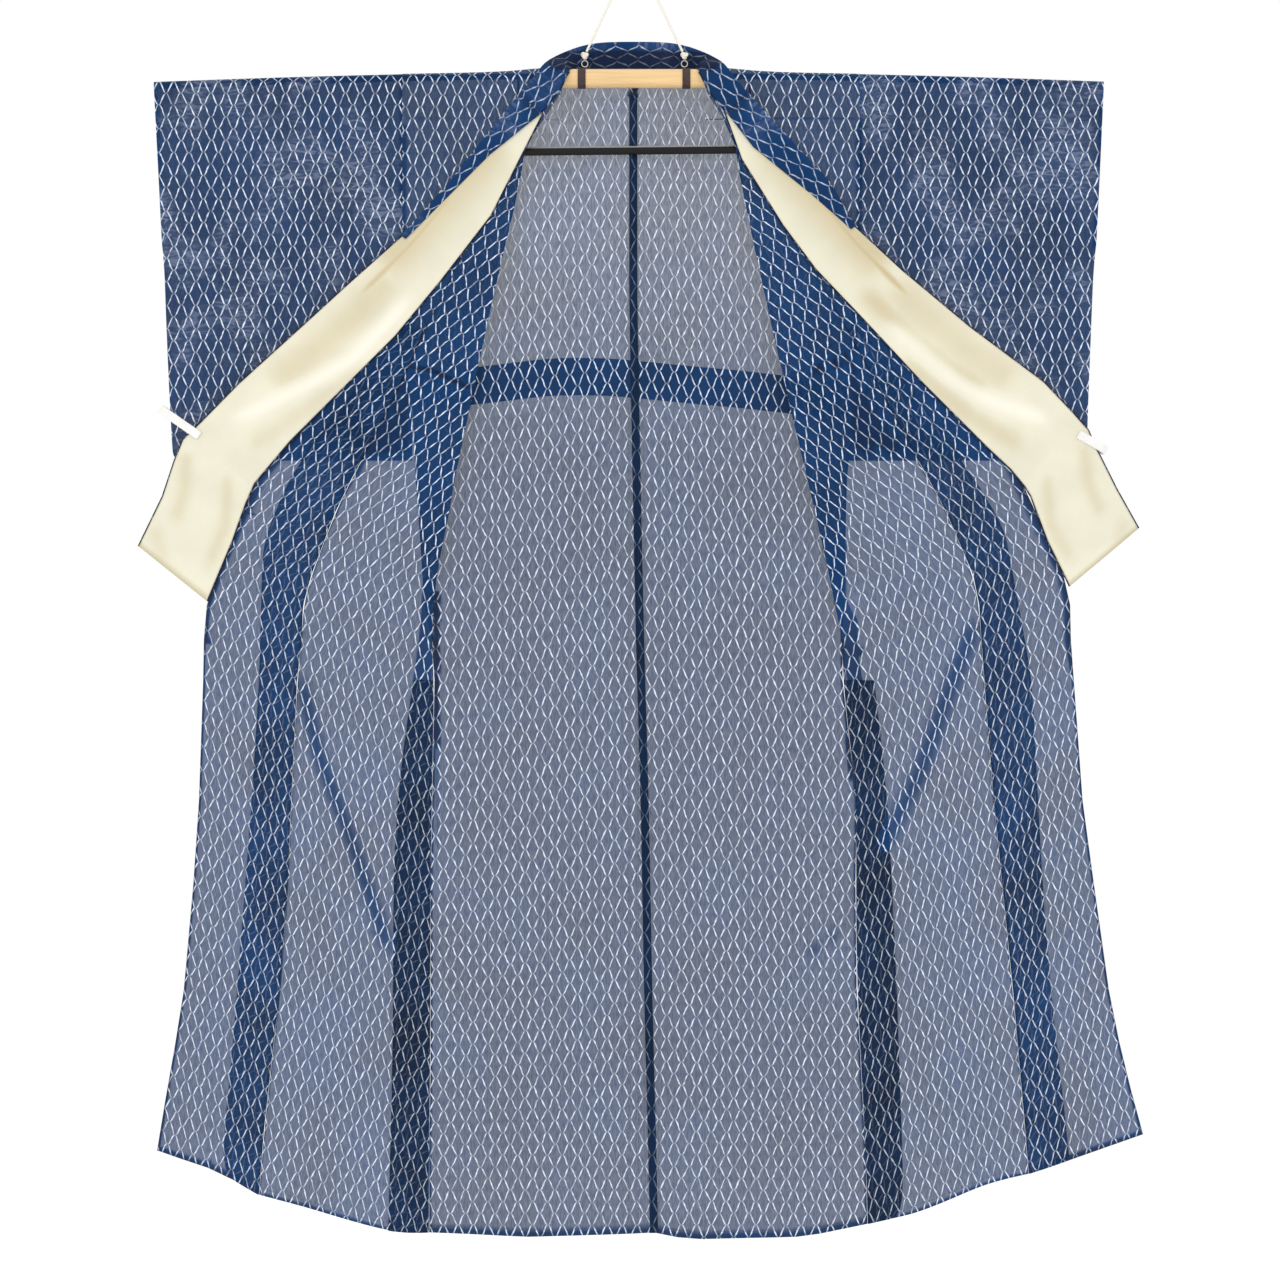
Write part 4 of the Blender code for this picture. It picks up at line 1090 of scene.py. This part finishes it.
class KIMONO_OT_stage(bpy.types.Operator):
    """Add the plain pale floor and the soft lights."""

    bl_idname = "kimono.stage"
    bl_label = "Stage"

    def execute(self, context):
        studio = context.scene.kimono_studio
        material, tree, shader = new_material("pale studio paper")
        place = add_node(tree, "ShaderNodeTexCoord").outputs["Object"]
        reach = add_node(tree, "ShaderNodeVectorMath", {"operation": "LENGTH"}, {0: place}).outputs["Value"]
        feed(tree, shader, {
            "Base Color": (*studio.paper, 1),
            "Alpha": remap(tree, reach, (2.3, FLOOR_RADIUS), (1, 0), soft=True),
            "Roughness": 1,
            "Specular IOR Level": 0,
            "Emission Color": (*studio.paper, 1),
            "Emission Strength": 0.12,
        })
        bpy.ops.mesh.primitive_circle_add(vertices=96, radius=FLOOR_RADIUS, fill_type="NGON",
                                          location=(0, 0, FLOOR_LEVEL))
        floor = context.active_object
        floor.name = "studio_floor"
        bpy.ops.object.transform_apply()
        floor.data.materials.append(material)
        world = bpy.data.worlds.new("studio")
        context.scene.world = world
        world.use_nodes = True
        light = world.node_tree.nodes["Background"]
        feed(world.node_tree, light, {"Color": (1, 1, 1, 1), "Strength": 1})
        for name, spot, power in (("key", (-2.2, -3.4, 1.2), 20), ("fill", (2.6, -3.4, 0), 8)):
            lamp = bpy.data.lights.new(name, "AREA")
            lamp.size = 2.2
            lamp.energy = power
            aim = Vector((0, 0, LIGHT_AIM)) - Vector(spot)
            place_object(name, lamp, spot, aim.to_track_quat("-Z", "Y").to_euler())
        context.scene.view_settings.view_transform = "Standard"
        return {"FINISHED"}


OPERATORS = (KIMONO_OT_camera, KIMONO_OT_cords, KIMONO_OT_backs, KIMONO_OT_sleeves, KIMONO_OT_fronts,
             KIMONO_OT_collar, KIMONO_OT_stitches, KIMONO_OT_hanger, KIMONO_OT_stage)


class KIMONO_PT_pieces(bpy.types.Panel):
    """Lists the kimono's pieces and their settings."""

    bl_idname = "KIMONO_PT_pieces"
    bl_label = "Kimono"
    bl_space_type = "VIEW_3D"
    bl_region_type = "UI"
    bl_category = "Kimono"

    def draw(self, context):
        for name, kind in GROUPS.items():
            box = self.layout.box()
            for key in kind.__annotations__:
                box.prop(getattr(context.scene, name), key)
        for piece in OPERATORS:
            self.layout.operator(piece.bl_idname)


GROUPS = {"kimono_cloth": KimonoCloth, "kimono_hanger": KimonoHanger, "kimono_studio": KimonoStudio}


def register():
    for item in (*GROUPS.values(), *OPERATORS, KIMONO_PT_pieces):
        bpy.utils.register_class(item)
    for key, group in GROUPS.items():
        setattr(bpy.types.Scene, key, bpy.props.PointerProperty(type=group))


def unregister():
    for key in GROUPS:
        delattr(bpy.types.Scene, key)
    for item in (KIMONO_PT_pieces, *reversed(OPERATORS), *reversed(GROUPS.values())):
        bpy.utils.unregister_class(item)


def main():
    register()
    for piece in OPERATORS:
        getattr(bpy.ops.kimono, piece.bl_idname.split(".")[1])()


if __name__ == "__main__":
    main()
